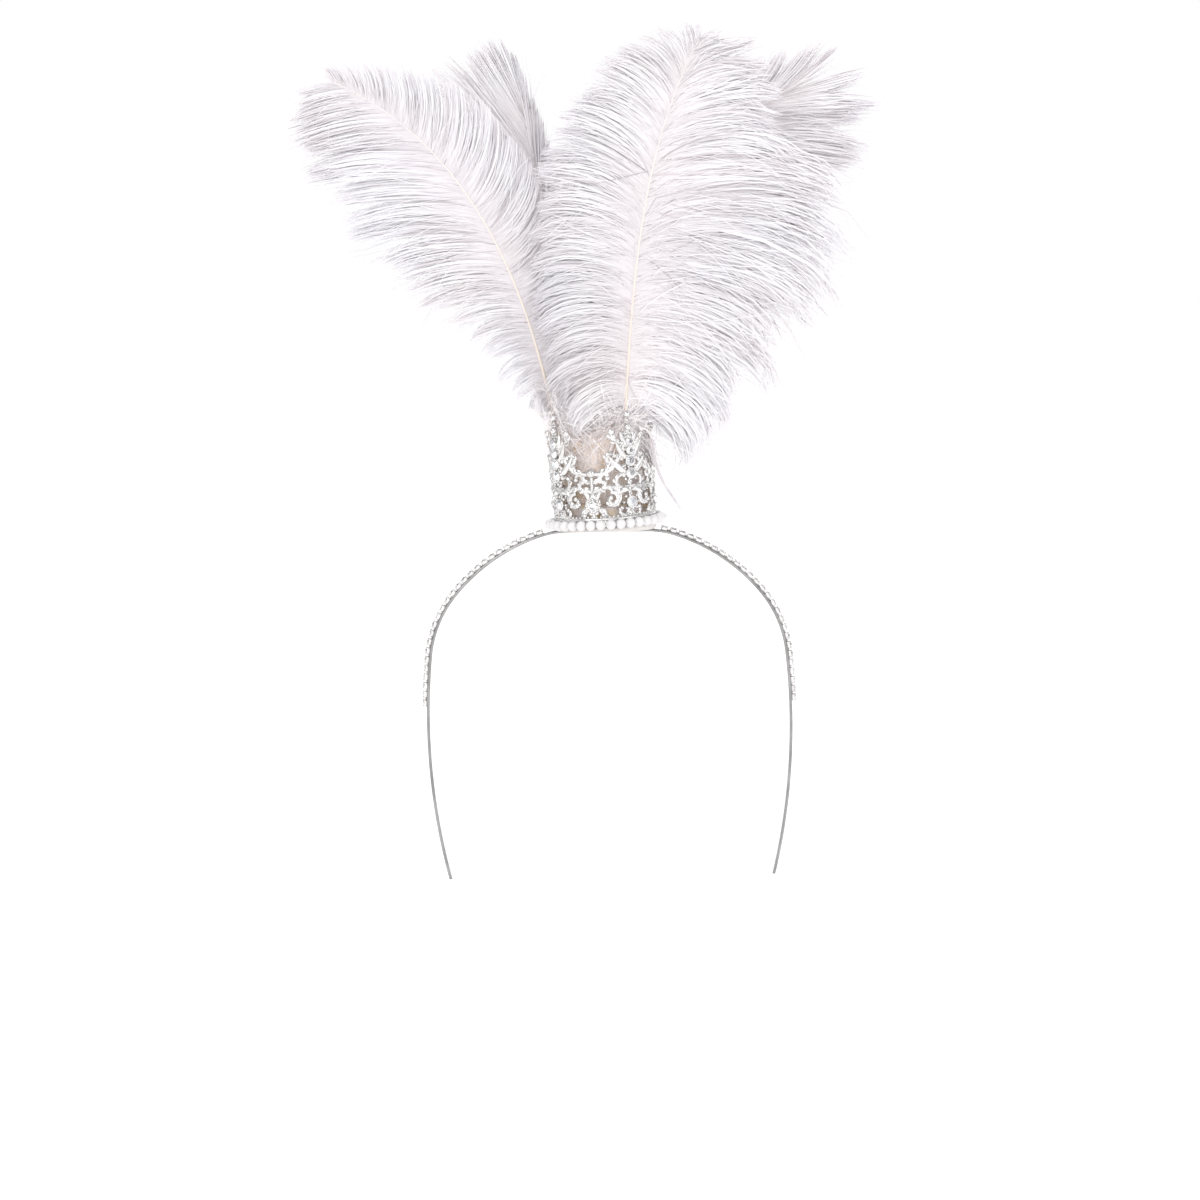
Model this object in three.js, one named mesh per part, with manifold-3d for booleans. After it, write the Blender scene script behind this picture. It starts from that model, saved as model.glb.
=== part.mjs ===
// A feather headdress: a slim metal hair hoop set with a row of stones, a small pierced crown on a
// pad ringed with pearls, and four ostrich plumes whose quills stand in the pad inside the crown.
// Millimetres, +Z up, +X to the wearer's left as seen from the front, +Y towards the back.
// The origin is on the underside of the hoop, at its middle, where it sits on the head.
import * as THREE from "three";
import { mergeVertices } from "three/addons/utils/BufferGeometryUtils.js";
import Module from "manifold-3d";

const wasm = await Module();
wasm.setup();

// Clear space kept between pieces that are glued or sewn together.
const GLUE_GAP = 0.3;

// Hair hoop: a flat strip bent to a bow, level under the pad, then turning down through four bends.
// The radius of each bend is a share of the half width of the head that the hoop goes over.
const HEAD_HALF_WIDTH = 72.0;
const HOOP_WIDTH = 4.0;
const HOOP_THICKNESS = 1.2;
const HOOP_LEVEL_HALF = 16.0;
const HOOP_TIP_SHARE = 0.5;
const HOOP_BENDS = [
  { part: "shoulder", radius: 0.472, turnsTo: 18 },
  { part: "top", radius: 1.028, turnsTo: 50 },
  { part: "temple", radius: 0.639, turnsTo: 84 },
  { part: "leg", radius: 3.611, turnsTo: 104 },
];
const HOOP_STEP = 8.0;

// Stones in cups along the outside of the hoop.
const CHAIN_PITCH = 3.5;
const CHAIN_STONE_RADIUS = 1.5;
const CHAIN_STONE_TABLE = 0.9;
const CHAIN_STONE_HEIGHT = 1.9;
const CHAIN_COVERS = 0.62;
const STONE_SIDES = 8;
const SOLDER_SINK = 0.4;

// Pearls strung round the foot of the crown.
const PEARL_DIAMETER = 4.0;
const PEARL_SIDES = 10;
const PEARL_HOLE_RADIUS = 0.7;

// Pierced crown: four tall peaks, with a valley between each two.
const CROWN_HEIGHT = 45.4;
const CROWN_FOOT_RADIUS = 20.2;
const CROWN_WALL = 1.5;
const CROWN_SPLAY_DEG = 2.6;
const CROWN_LEAN_DEG = 3;
const CROWN_TURN_DEG = 32;
const PEAKS = 4;
const FOOT_RING_HEIGHT = 3.6;
const FOOT_RING_PROUD = 0.35;
const FOOT_RING_STEPS = 32;
const SCROLL_WIDTH = 1.6;
const STEM_WIDTH = 2.0;
const FINIAL_RADIUS = 1.5;
const VALLEY_BEAD_RADIUS = 1.9;
const ARM_BEAD_RADIUS = 1.1;
const ARM_BEAD_SIDES = 6;

// Pad under the crown, with the raised middle that the quills stand in.
const PAD_THICKNESS = 2.0;
const SOCKET_CLEARANCE = 2.0;
const SOCKET_HEIGHT = 8.5;
const QUILL_SINK = 6.0;
const PAD_STEPS = 36;

// Plumes.
const PLUME_LENGTH = 206.0;
const QUILL_RADIUS = 1.15;
const SHAFT_TIP_RADIUS = 0.35;
const VANE_THICKNESS = 4.2;
const LOCKS = 11;
const NOTCH = 0.26;
const BARB_STEPS = 3;

const degrees = THREE.MathUtils.degToRad;
const UP = new THREE.Vector3(0, 0, 1);
const BACK = new THREE.Vector3(0, 1, 0);
const vec = (x, y, z) => new THREE.Vector3(x, y, z);

// A closed mesh through rings of points, each ring with as many points, its two ends closed by fans.
function loft(rings) {
  const n = rings[0].length;
  const index = [];
  for (let r = 0; r + 1 < rings.length; r++)
    for (let i = 0; i < n; i++) {
      const a = r * n + i;
      const b = r * n + ((i + 1) % n);
      index.push(a, b, b + n, a, b + n, a + n);
    }
  const last = (rings.length - 1) * n;
  for (let i = 1; i + 1 < n; i++) {
    index.push(0, i + 1, i);
    index.push(last, last + i, last + i + 1);
  }
  return facingOut(rings.flat(), index);
}

// The same without ends: the last ring is joined to the first.
function closedLoft(rings) {
  const n = rings[0].length;
  const index = [];
  for (let r = 0; r < rings.length; r++)
    for (let i = 0; i < n; i++) {
      const next = ((r + 1) % rings.length) * n;
      const a = r * n + i;
      const b = r * n + ((i + 1) % n);
      index.push(a, b, next + ((i + 1) % n), a, next + ((i + 1) % n), next + i);
    }
  return facingOut(rings.flat(), index);
}

// A geometry from points and triangles, turned round if its faces would point inwards.
function facingOut(points, index) {
  let volume = 0;
  for (let i = 0; i < index.length; i += 3) {
    const [a, b, c] = [points[index[i]], points[index[i + 1]], points[index[i + 2]]];
    volume += a.dot(vec(0, 0, 0).crossVectors(b, c));
  }
  if (volume < 0) index.reverse();
  const geometry = new THREE.BufferGeometry();
  geometry.setAttribute("position", new THREE.Float32BufferAttribute(points.flatMap((p) => p.toArray()), 3));
  geometry.setIndex(index);
  return geometry;
}

function solidOf(geometry) {
  const bare = geometry.clone();
  bare.deleteAttribute("normal");
  bare.deleteAttribute("uv");
  const merged = mergeVertices(bare, 1e-4);
  return new wasm.Manifold(
    new wasm.Mesh({
      numProp: 3,
      vertProperties: merged.attributes.position.array,
      triVerts: new Uint32Array(merged.index.array),
    }),
  );
}

function geometryOf(solid) {
  const mesh = solid.getMesh();
  const geometry = new THREE.BufferGeometry();
  geometry.setAttribute("position", new THREE.BufferAttribute(new Float32Array(mesh.vertProperties), 3));
  geometry.setIndex(new THREE.BufferAttribute(new Uint32Array(mesh.triVerts), 1));
  return geometry;
}

const joined = (geometries) => geometries.map(solidOf).reduce((all, next) => all.add(next));

// Value at t of a table of rows with an "at" column, straight between rows.
function fromTable(rows, column, t) {
  const after = Math.max(1, rows.findIndex((row) => row.at >= t));
  const [low, high] = [rows[after - 1], rows[after]];
  const share = (t - low.at) / (high.at - low.at);
  return THREE.MathUtils.lerp(low[column], high[column], THREE.MathUtils.clamp(share, 0, 1));
}

// Hair hoop

// Half the hoop as a line of arcs, from the middle outwards: where it is after a length, and how far
// it has turned there.
function hoopAt(length) {
  let [x, z, turned, left] = [0, 0, 0, length];
  const level = Math.min(left, HOOP_LEVEL_HALF);
  x += level;
  left -= level;
  for (const bend of HOOP_BENDS) {
    if (left <= 0) break;
    const radius = bend.radius * HEAD_HALF_WIDTH;
    const run = Math.min(left, radius * (degrees(bend.turnsTo) - turned));
    const turnedTo = turned + run / radius;
    x += radius * (Math.sin(turnedTo) - Math.sin(turned));
    z -= radius * (Math.cos(turned) - Math.cos(turnedTo));
    turned = turnedTo;
    left -= run;
  }
  return { x, z, turned };
}

function hoopHalfLength() {
  let [total, turned] = [HOOP_LEVEL_HALF, 0];
  for (const bend of HOOP_BENDS) {
    total += bend.radius * HEAD_HALF_WIDTH * (degrees(bend.turnsTo) - turned);
    turned = degrees(bend.turnsTo);
  }
  return total;
}

// A point on the hoop: side is -1 or 1, out is the height above its underside, and across is its place
// over the width.
function onHoop(side, length, out, across) {
  const { x, z, turned } = hoopAt(length);
  return vec(side * (x + out * Math.sin(turned)), across, z + out * Math.cos(turned));
}

function hoopSection(side, length, width) {
  return [
    onHoop(side, length, 0, -side * width / 2),
    onHoop(side, length, 0, side * width / 2),
    onHoop(side, length, HOOP_THICKNESS, side * width / 2),
    onHoop(side, length, HOOP_THICKNESS, -side * width / 2),
  ];
}

function hoopStrip() {
  const half = hoopHalfLength();
  const steps = Math.round(half / HOOP_STEP);
  const tipWidth = HOOP_WIDTH * HOOP_TIP_SHARE;
  const right = [];
  for (let i = 0; i <= steps; i++)
    right.push(hoopSection(1, (half * i) / steps, i === steps ? tipWidth : HOOP_WIDTH));
  const left = [];
  for (let i = steps; i > 0; i--) {
    const section = hoopSection(-1, (half * i) / steps, i === steps ? tipWidth : HOOP_WIDTH);
    left.push([section[1], section[0], section[3], section[2]]);
  }
  return loft([...left, ...right]);
}

// One cut stone in its cup: eight sides that lean in to a flat table.
function hoopStone(side, length) {
  const ring = (radius, out) =>
    Array.from({ length: STONE_SIDES }, (_, i) => {
      const a = ((i + 0.5) / STONE_SIDES) * 2 * Math.PI;
      const middle = onHoop(side, length, out, 0);
      const { turned } = hoopAt(length);
      const along = vec(side * Math.cos(turned), 0, -Math.sin(turned));
      return middle.addScaledVector(along, radius * Math.cos(a)).addScaledVector(BACK, radius * Math.sin(a));
    });
  const top = HOOP_THICKNESS + CHAIN_STONE_HEIGHT;
  return loft([ring(CHAIN_STONE_RADIUS, HOOP_THICKNESS - SOLDER_SINK), ring(CHAIN_STONE_TABLE, top)]);
}

function headband() {
  const pieces = [hoopStrip()];
  const first = PEARL_RING_OUTER + GLUE_GAP + CHAIN_STONE_RADIUS;
  const last = hoopHalfLength() * CHAIN_COVERS;
  for (const side of [-1, 1])
    for (let at = first; at <= last; at += CHAIN_PITCH) pieces.push(hoopStone(side, at));
  return geometryOf(joined(pieces));
}

// Crown

const PEARL_RING_RADIUS = CROWN_FOOT_RADIUS + GLUE_GAP + PEARL_DIAMETER / 2;
const PEARL_RING_OUTER = PEARL_RING_RADIUS + PEARL_DIAMETER / 2;
const PAD_RADIUS = PEARL_RING_RADIUS - PEARL_DIAMETER / 2 - GLUE_GAP;
const LEAN = degrees(CROWN_LEAN_DEG);
const PAD_UNDER = HOOP_THICKNESS + GLUE_GAP;
const PAD_TOP = PAD_UNDER + PAD_THICKNESS;
const CROWN_SEAT = PAD_TOP + GLUE_GAP;
const PEARL_SEAT = PAD_UNDER + PEARL_RING_OUTER * Math.tan(LEAN);
const SOCKET_TOP = PAD_TOP + SOCKET_HEIGHT;
const WALL_RADIUS = CROWN_FOOT_RADIUS - FOOT_RING_PROUD;
const CROWN_INSIDE = WALL_RADIUS - CROWN_WALL - FOOT_RING_PROUD;
const SOCKET_RADIUS = CROWN_INSIDE - SOCKET_CLEARANCE;
const SPLAY = Math.tan(degrees(CROWN_SPLAY_DEG));
const HALF_SECTOR = Math.PI / PEAKS;
const HALF_ARC = HALF_SECTOR * WALL_RADIUS;
// The scrolls are round where half a peak's arc is this share of the crown's height.
const ROUND_AT = 0.3434;

// Scrolls of half a peak. Places across are shares of the half arc, heights and radii shares of the
// crown's height, and the radius across follows the half arc. Each scroll starts at the angle "from",
// in degrees from the outward side, and winds by "turn".
const SCROLLS = [
  { name: "volute", across: 0.52, height: 0.24, start: 0.152, end: 0.05, from: -75, turn: 390, steps: 9 },
  { name: "leaf", across: 0.2, height: 0.4, start: 0.08, end: 0.04, from: -135, turn: 240, steps: 4 },
  { name: "valley", across: 0.79, height: 0.355, start: 0.06, end: 0.03, from: 25, turn: 230, steps: 4 },
  { name: "shoulder", across: 0.45, height: 0.6, start: 0.058, end: 0.026, from: -125, turn: 270, steps: 4 },
  { name: "arm", across: 0.2, height: 0.815, start: 0.1, end: 0.08, from: -122, turn: 130, steps: 3 },
];
// The swept line from the valley up to the peak, as a curve with one pull point.
const OGEE = [
  { point: "valley", across: 1.0, height: 0.47 },
  { point: "pull", across: 0.3, height: 0.42 },
  { point: "peak", across: 0.05, height: 0.79 },
];
const OGEE_STEPS = 4;
// Cut stones: on the stem under the peak, and on the post of the valley.
const CROWN_STONES = [
  { on: "stem", across: 0, height: 0.2, radius: 0.056 },
  { on: "stem", across: 0, height: 0.49, radius: 0.05 },
  { on: "stem", across: 0, height: 0.63, radius: 0.042 },
  { on: "stem", across: 0, height: 0.735, radius: 0.03 },
  { on: "stem", across: 0, height: 0.82, radius: 0.036 },
  { on: "post", across: 0, height: 0.19, radius: 0.04 },
];
const CROWN_STONE_HEIGHT = 1.3;
const CROWN_STONE_TABLE_SHARE = 0.55;
const STEM_TOP = CROWN_HEIGHT - FINIAL_RADIUS;
const POST_TOP = 0.45 * CROWN_HEIGHT;

// The wall is laid out flat first, as length across, depth in from the outer face, and height, then
// rolled to a cone.
function rolled(solid, angle) {
  const geometry = geometryOf(solid);
  const place = geometry.attributes.position;
  for (let i = 0; i < place.count; i++) {
    const turn = angle + place.getX(i) / WALL_RADIUS;
    const radius = WALL_RADIUS + place.getZ(i) * SPLAY - place.getY(i);
    place.setXYZ(i, radius * Math.sin(turn), -radius * Math.cos(turn), place.getZ(i));
  }
  return solidOf(geometry);
}

// A bar of the wall's thickness along points laid out flat as x = across and y = height.
function wallBar(points, width) {
  const rings = points.map((point, i) => {
    const [before, after] = [points[Math.max(0, i - 1)], points[Math.min(points.length - 1, i + 1)]];
    const run = after.clone().sub(before).normalize();
    const [dAcross, dHeight] = [(-run.y * width) / 2, (run.x * width) / 2];
    const corner = (sign, depth) => vec(point.x + sign * dAcross, depth, point.y + sign * dHeight);
    return [corner(-1, 0), corner(1, 0), corner(1, CROWN_WALL), corner(-1, CROWN_WALL)];
  });
  return loft(rings);
}

const flat = (x, y) => new THREE.Vector2(x, y);
const acrossOf = (share) => share * HALF_ARC;

function scrollPoints(row, side) {
  return Array.from({ length: row.steps + 1 }, (_, i) => {
    const share = i / row.steps;
    const a = degrees(row.from + row.turn * share);
    const radius = THREE.MathUtils.lerp(row.start, row.end, share);
    const across = acrossOf(row.across + (radius / ROUND_AT) * Math.cos(a));
    return flat(side * across, (row.height + radius * Math.sin(a)) * CROWN_HEIGHT);
  });
}

function ogeePoints(side) {
  const [a, b, c] = OGEE.map((row) => flat(side * acrossOf(row.across), row.height * CROWN_HEIGHT));
  return new THREE.QuadraticBezierCurve(a, b, c).getPoints(OGEE_STEPS);
}

const upright = (top) => wallBar([flat(0, FOOT_RING_HEIGHT / 2), flat(0, top)], STEM_WIDTH);

// A cut stone on the outer face: eight sides that lean in to a table.
function crownStone({ across, height, radius }) {
  const ring = (r, depth) =>
    Array.from({ length: STONE_SIDES }, (_, i) => {
      const a = ((i + 0.5) / STONE_SIDES) * 2 * Math.PI;
      return vec(acrossOf(across) + r * Math.cos(a), depth, height * CROWN_HEIGHT + r * Math.sin(a));
    });
  const wide = radius * CROWN_HEIGHT;
  return loft([ring(wide, SOLDER_SINK), ring(wide * CROWN_STONE_TABLE_SHARE, -CROWN_STONE_HEIGHT)]);
}

const bead = (radius, at, sides) =>
  new THREE.SphereGeometry(radius, sides, sides / 2).translate(at.x, CROWN_WALL / 2, at.y);

// One tall peak, laid out flat about its stem.
function peakFlat() {
  const stones = CROWN_STONES.filter((row) => row.on === "stem");
  const pieces = [upright(STEM_TOP), ...stones.map(crownStone)];
  for (const side of [-1, 1]) {
    pieces.push(wallBar(ogeePoints(side), SCROLL_WIDTH));
    for (const row of SCROLLS) pieces.push(wallBar(scrollPoints(row, side), SCROLL_WIDTH));
    const armTip = scrollPoints(SCROLLS.find((row) => row.name === "arm"), side).at(-1);
    pieces.push(bead(ARM_BEAD_RADIUS, armTip, ARM_BEAD_SIDES));
  }
  pieces.push(bead(FINIAL_RADIUS, flat(0, CROWN_HEIGHT - FINIAL_RADIUS), STONE_SIDES));
  return joined(pieces);
}

// The post of one valley, with its bead, laid out flat about its middle.
function valleyFlat() {
  const stones = CROWN_STONES.filter((row) => row.on === "post");
  const top = bead(VALLEY_BEAD_RADIUS, flat(0, POST_TOP + VALLEY_BEAD_RADIUS / 2), STONE_SIDES);
  return joined([upright(POST_TOP), ...stones.map(crownStone), top]);
}

function crown() {
  const ring = (radius, height) =>
    Array.from({ length: FOOT_RING_STEPS }, (_, i) => {
      const a = (i / FOOT_RING_STEPS) * 2 * Math.PI;
      return vec(radius * Math.sin(a), -radius * Math.cos(a), height);
    });
  const outer = [ring(CROWN_FOOT_RADIUS, 0), ring(CROWN_FOOT_RADIUS, FOOT_RING_HEIGHT)];
  const inner = [ring(CROWN_INSIDE, FOOT_RING_HEIGHT), ring(CROWN_INSIDE, 0)];
  let solid = solidOf(closedLoft([...outer, ...inner]));
  const [peak, valley] = [peakFlat(), valleyFlat()];
  for (let i = 0; i < PEAKS; i++) {
    const angle = degrees(CROWN_TURN_DEG) + i * 2 * HALF_SECTOR;
    solid = solid.add(rolled(peak, angle)).add(rolled(valley, angle + HALF_SECTOR));
  }
  return geometryOf(solid);
}

// Pearl ring: one closed body of beads that meet at their holes.
function pearlRing() {
  const radius = PEARL_DIAMETER / 2;
  const count = Math.round((2 * Math.PI * PEARL_RING_RADIUS) / PEARL_DIAMETER);
  const profile = [
    { at: 0, r: PEARL_HOLE_RADIUS },
    { at: 0.27, r: radius * 0.94 },
    { at: 0.73, r: radius * 0.94 },
  ];
  const rings = [];
  for (let i = 0; i < count; i++)
    for (const { at, r } of profile) {
      const angle = ((i + at) / count) * 2 * Math.PI;
      const out = vec(Math.sin(angle), -Math.cos(angle), 0);
      const middle = out.clone().multiplyScalar(PEARL_RING_RADIUS).setZ(radius);
      rings.push(
        Array.from({ length: PEARL_SIDES }, (_, k) => {
          const a = (k / PEARL_SIDES) * 2 * Math.PI;
          const sideways = middle.clone().addScaledVector(out, r * Math.cos(a));
          return sideways.addScaledVector(UP, r * Math.sin(a));
        }),
      );
    }
  return closedLoft(rings);
}

// Plumes

// Root places are shares of the socket's radius, length is a share of the plumes' length, and reach is
// a share of the plume's own length. Lean is from upright towards +X and pitch towards +Y, in degrees,
// at the foot and at the tip of the shaft, and leanPower says how late the bow comes. Facing turns the
// vane about its shaft. In each vane, "at" is the share of the shaft above the crown, left and right are
// how far the locks reach there as shares of the reach, and the angles are those from the shaft's tip
// end to the locks' tips. Curl is how much more a lock turns at its tip than at its root, as a share of
// that angle.
const PLUMES = [
  {
    name: "plume_left", rootX: -0.84, rootY: -0.2, length: 1.0,
    leanRoot: -8.7, leanTip: -67, leanPower: 2.0, pitchRoot: -1, pitchTip: -12, facing: 8,
    reach: 0.301, curlLeft: 0.25, curlRight: -0.45,
    vane: [
      { at: 0.0, left: 0.1, right: 0.1, leftAngle: 140, rightAngle: 70 },
      { at: 0.09, left: 0.27, right: 0.22, leftAngle: 106, rightAngle: 66 },
      { at: 0.21, left: 0.44, right: 0.36, leftAngle: 82, rightAngle: 62 },
      { at: 0.43, left: 0.92, right: 0.5, leftAngle: 66, rightAngle: 58 },
      { at: 0.6, left: 1.0, right: 0.54, leftAngle: 52, rightAngle: 52 },
      { at: 0.82, left: 0.68, right: 0.44, leftAngle: 42, rightAngle: 46 },
      { at: 1.0, left: 0.14, right: 0.12, leftAngle: 26, rightAngle: 28 },
    ],
  },
  {
    name: "plume_back_left", rootX: -0.5, rootY: 0.6, length: 0.932,
    leanRoot: -7.2, leanTip: -26, leanPower: 9, pitchRoot: 4, pitchTip: 14, facing: -6,
    reach: 0.25, curlLeft: 0.1, curlRight: 0.3,
    vane: [
      { at: 0.0, left: 0.12, right: 0.12, leftAngle: 110, rightAngle: 100 },
      { at: 0.12, left: 0.4, right: 0.45, leftAngle: 88, rightAngle: 88 },
      { at: 0.35, left: 0.72, right: 0.82, leftAngle: 70, rightAngle: 78 },
      { at: 0.58, left: 0.92, right: 0.84, leftAngle: 52, rightAngle: 64 },
      { at: 0.74, left: 1.0, right: 0.5, leftAngle: 40, rightAngle: 30 },
      { at: 0.9, left: 0.58, right: 0.24, leftAngle: 30, rightAngle: 18 },
      { at: 1.0, left: 0.1, right: 0.08, leftAngle: 18, rightAngle: 14 },
    ],
  },
  {
    name: "plume_front", rootX: 0.36, rootY: -0.45, length: 0.942,
    leanRoot: 3.4, leanTip: 30, leanPower: 2.8, pitchRoot: -2, pitchTip: -12, facing: 4,
    reach: 0.464, curlLeft: 0.4, curlRight: 0.45,
    vane: [
      { at: 0.0, left: 0.16, right: 0.4, leftAngle: 120, rightAngle: 126 },
      { at: 0.1, left: 0.32, right: 0.58, leftAngle: 104, rightAngle: 115 },
      { at: 0.3, left: 0.48, right: 0.82, leftAngle: 88, rightAngle: 102 },
      { at: 0.5, left: 0.53, right: 1.0, leftAngle: 76, rightAngle: 86 },
      { at: 0.68, left: 0.5, right: 0.88, leftAngle: 72, rightAngle: 70 },
      { at: 0.88, left: 0.27, right: 0.4, leftAngle: 62, rightAngle: 50 },
      { at: 1.0, left: 0.06, right: 0.1, leftAngle: 30, rightAngle: 30 },
    ],
  },
  {
    name: "plume_right", rootX: 0.3, rootY: 0.2, length: 0.913,
    leanRoot: 8.5, leanTip: 70, leanPower: 3.2, pitchRoot: 0, pitchTip: 5, facing: 2,
    reach: 0.319, curlLeft: 0.2, curlRight: 0.35,
    vane: [
      { at: 0.0, left: 0.12, right: 0.16, leftAngle: 110, rightAngle: 116 },
      { at: 0.12, left: 0.36, right: 0.45, leftAngle: 92, rightAngle: 100 },
      { at: 0.35, left: 0.66, right: 0.82, leftAngle: 78, rightAngle: 84 },
      { at: 0.6, left: 0.8, right: 1.0, leftAngle: 60, rightAngle: 62 },
      { at: 0.8, left: 0.74, right: 0.94, leftAngle: 40, rightAngle: 45 },
      { at: 0.92, left: 0.62, right: 0.74, leftAngle: 26, rightAngle: 34 },
      { at: 1.0, left: 0.46, right: 0.5, leftAngle: 12, rightAngle: 20 },
    ],
  },
];
// Locks fall away from the face of the plume towards their tips, by this share of their reach.
const CUP = 0.1;
const SHAFT_STEPS = 60;

const lengthOf = (plume) => plume.length * PLUME_LENGTH;
const reachOf = (plume) => plume.reach * lengthOf(plume);

// The middle line of a plume's shaft, from its foot in the socket, with the frame of its vane at each step.
function shaftOf(plume) {
  const at = vec(plume.rootX * SOCKET_RADIUS, plume.rootY * SOCKET_RADIUS, SOCKET_TOP - QUILL_SINK);
  const line = [];
  for (let i = 0; i <= SHAFT_STEPS; i++) {
    const t = i / SHAFT_STEPS;
    const lean = degrees(THREE.MathUtils.lerp(plume.leanRoot, plume.leanTip, t ** plume.leanPower));
    const pitch = degrees(THREE.MathUtils.lerp(plume.pitchRoot, plume.pitchTip, t));
    const along = vec(Math.sin(lean) * Math.cos(pitch), Math.sin(pitch), Math.cos(lean) * Math.cos(pitch));
    const level = vec(0, 0, 0).crossVectors(BACK, along).normalize();
    const through = vec(0, 0, 0).crossVectors(along, level);
    const turn = degrees(plume.facing);
    const side = level.multiplyScalar(Math.cos(turn)).addScaledVector(through, Math.sin(turn));
    const face = vec(0, 0, 0).crossVectors(along, side);
    line.push({ point: at.clone(), along, side, face });
    at.addScaledVector(along, lengthOf(plume) / SHAFT_STEPS);
  }
  return line;
}

// Points along one lock, from the shaft outwards: an arc in the plane of the vane, whose chord has the
// given angle and length, and which falls away from the face.
function lock(frame, sign, angle, reach, curl) {
  const bend = 2 * curl * degrees(angle);
  const points = [];
  for (let i = 1; i <= BARB_STEPS; i++) {
    const u = i / BARB_STEPS;
    const turned = degrees(angle) + (bend * (u - 1)) / 2;
    const out = Math.abs(bend) < 1e-6 ? u : Math.sin((bend * u) / 2) / Math.sin(bend / 2);
    const point = frame.point.clone().addScaledVector(frame.along, reach * out * Math.cos(turned));
    point.addScaledVector(frame.side, sign * reach * out * Math.sin(turned));
    points.push(point.addScaledVector(frame.face, CUP * reach * u * u));
  }
  return points;
}

// A plume: round quill first, then a vane of pointed locks on both sides of the shaft, as one closed skin.
function plumeSolid(plume) {
  const line = shaftOf(plume);
  const mouth = CROWN_SEAT + CROWN_HEIGHT;
  const start = line.findIndex(({ point }) => point.z > mouth);
  const rings = [];
  const count = 4 * BARB_STEPS;
  for (const step of [0, Math.round(start / 2), start - 1]) {
    const frame = line[step];
    rings.push(
      Array.from({ length: count }, (_, k) => {
        const a = (k / count) * 2 * Math.PI;
        const point = frame.point.clone().addScaledVector(frame.side, -QUILL_RADIUS * Math.cos(a));
        return point.addScaledVector(frame.face, QUILL_RADIUS * Math.sin(a));
      }),
    );
  }
  const rows = 2 * LOCKS;
  for (let row = 0; row <= rows; row++) {
    const at = row / rows;
    const frame = line[Math.round(start + (SHAFT_STEPS - start) * at)];
    const cut = row % 2 ? reachOf(plume) : reachOf(plume) * (1 - NOTCH);
    const of = (column) => fromTable(plume.vane, column, at);
    const left = lock(frame, -1, of("leftAngle"), cut * of("left"), plume.curlLeft);
    const right = lock(frame, 1, of("rightAngle"), cut * of("right"), plume.curlRight);
    const middle = Math.max(SHAFT_TIP_RADIUS, (VANE_THICKNESS / 2) * (1 - at * at));
    const skin = (sign) => {
      const half = (i) => sign * Math.max(SHAFT_TIP_RADIUS / 2, middle * (1 - i / BARB_STEPS));
      return [
        ...left.slice(0, -1).map((p, i) => lifted(p, frame, half(i + 1))).reverse(),
        lifted(frame.point, frame, sign * middle),
        ...right.slice(0, -1).map((p, i) => lifted(p, frame, half(i + 1))),
      ];
    };
    rings.push([left.at(-1), ...skin(1), right.at(-1), ...skin(-1).reverse()]);
  }
  return loft(rings);
}

const lifted = (point, frame, height) => point.clone().addScaledVector(frame.face, height);

// Pad with its socket: level underneath, its rim leaning with the crown, and one hole for each quill.
function pad() {
  const circle = (radius, height) =>
    Array.from({ length: PAD_STEPS }, (_, i) => {
      const a = (i / PAD_STEPS) * 2 * Math.PI;
      const x = radius * Math.cos(a);
      return vec(x, radius * Math.sin(a), height(x));
    });
  const rim = (x) => PAD_TOP + x * Math.tan(LEAN);
  const rings = [
    circle(PAD_RADIUS, () => PAD_UNDER),
    circle(PAD_RADIUS, rim),
    circle(SOCKET_RADIUS, rim),
    circle(SOCKET_RADIUS, () => SOCKET_TOP),
  ];
  let solid = solidOf(loft(rings));
  for (const plume of PLUMES) {
    const foot = shaftOf(plume)[0];
    const radius = QUILL_RADIUS + GLUE_GAP;
    const length = 2 * QUILL_SINK;
    const hole = new THREE.CylinderGeometry(radius, radius, length, PEARL_SIDES).rotateX(Math.PI / 2);
    hole.translate(0, 0, length / 2 - GLUE_GAP);
    const turn = new THREE.Quaternion().setFromUnitVectors(UP, foot.along);
    hole.applyQuaternion(turn).translate(foot.point.x, foot.point.y, foot.point.z);
    solid = solid.subtract(solidOf(hole));
  }
  return geometryOf(solid);
}

const silver = () => new THREE.MeshStandardMaterial({ color: 0xd9dadb, roughness: 0.22, metalness: 1.0 });
const pearl = () => new THREE.MeshStandardMaterial({ color: 0xf1ece8, roughness: 0.25, metalness: 0.0 });
const felt = () => new THREE.MeshStandardMaterial({ color: 0xd8c6ac, roughness: 0.95, metalness: 0.0 });
const down = () => new THREE.MeshStandardMaterial({ color: 0xf6f3f3, roughness: 0.9, metalness: 0.0 });

function piece(name, geometry, material) {
  const mesh = new THREE.Mesh(geometry, material);
  mesh.name = name;
  return mesh;
}

const headdress = new THREE.Group();
headdress.name = "feather_headdress";
headdress.add(piece("headband", headband(), silver()));
headdress.add(piece("pad", pad(), felt()));

// The crown stands on the pad and its pearls lie round the pad, both leaning the same way.
const leaning = new THREE.Group();
leaning.rotation.y = -LEAN;
const crownPiece = piece("crown", crown(), silver());
crownPiece.position.z = CROWN_SEAT;
const pearlPiece = piece("pearl_ring", pearlRing(), pearl());
pearlPiece.position.z = PEARL_SEAT;
leaning.add(crownPiece, pearlPiece);
headdress.add(leaning);

for (const plume of PLUMES) headdress.add(piece(plume.name, plumeSolid(plume), down()));

export default headdress;
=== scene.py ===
"""A feather headdress: four white ostrich plumes in a small pierced silver crown on a pearl-edged pad and
a hair hoop.

Lengths are millimetres until a mesh is made. +X is the viewer's right, +Y the back, +Z up, as in the
frame.
"""

import bpy
import numpy as np
from mathutils import Matrix, Vector


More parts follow.
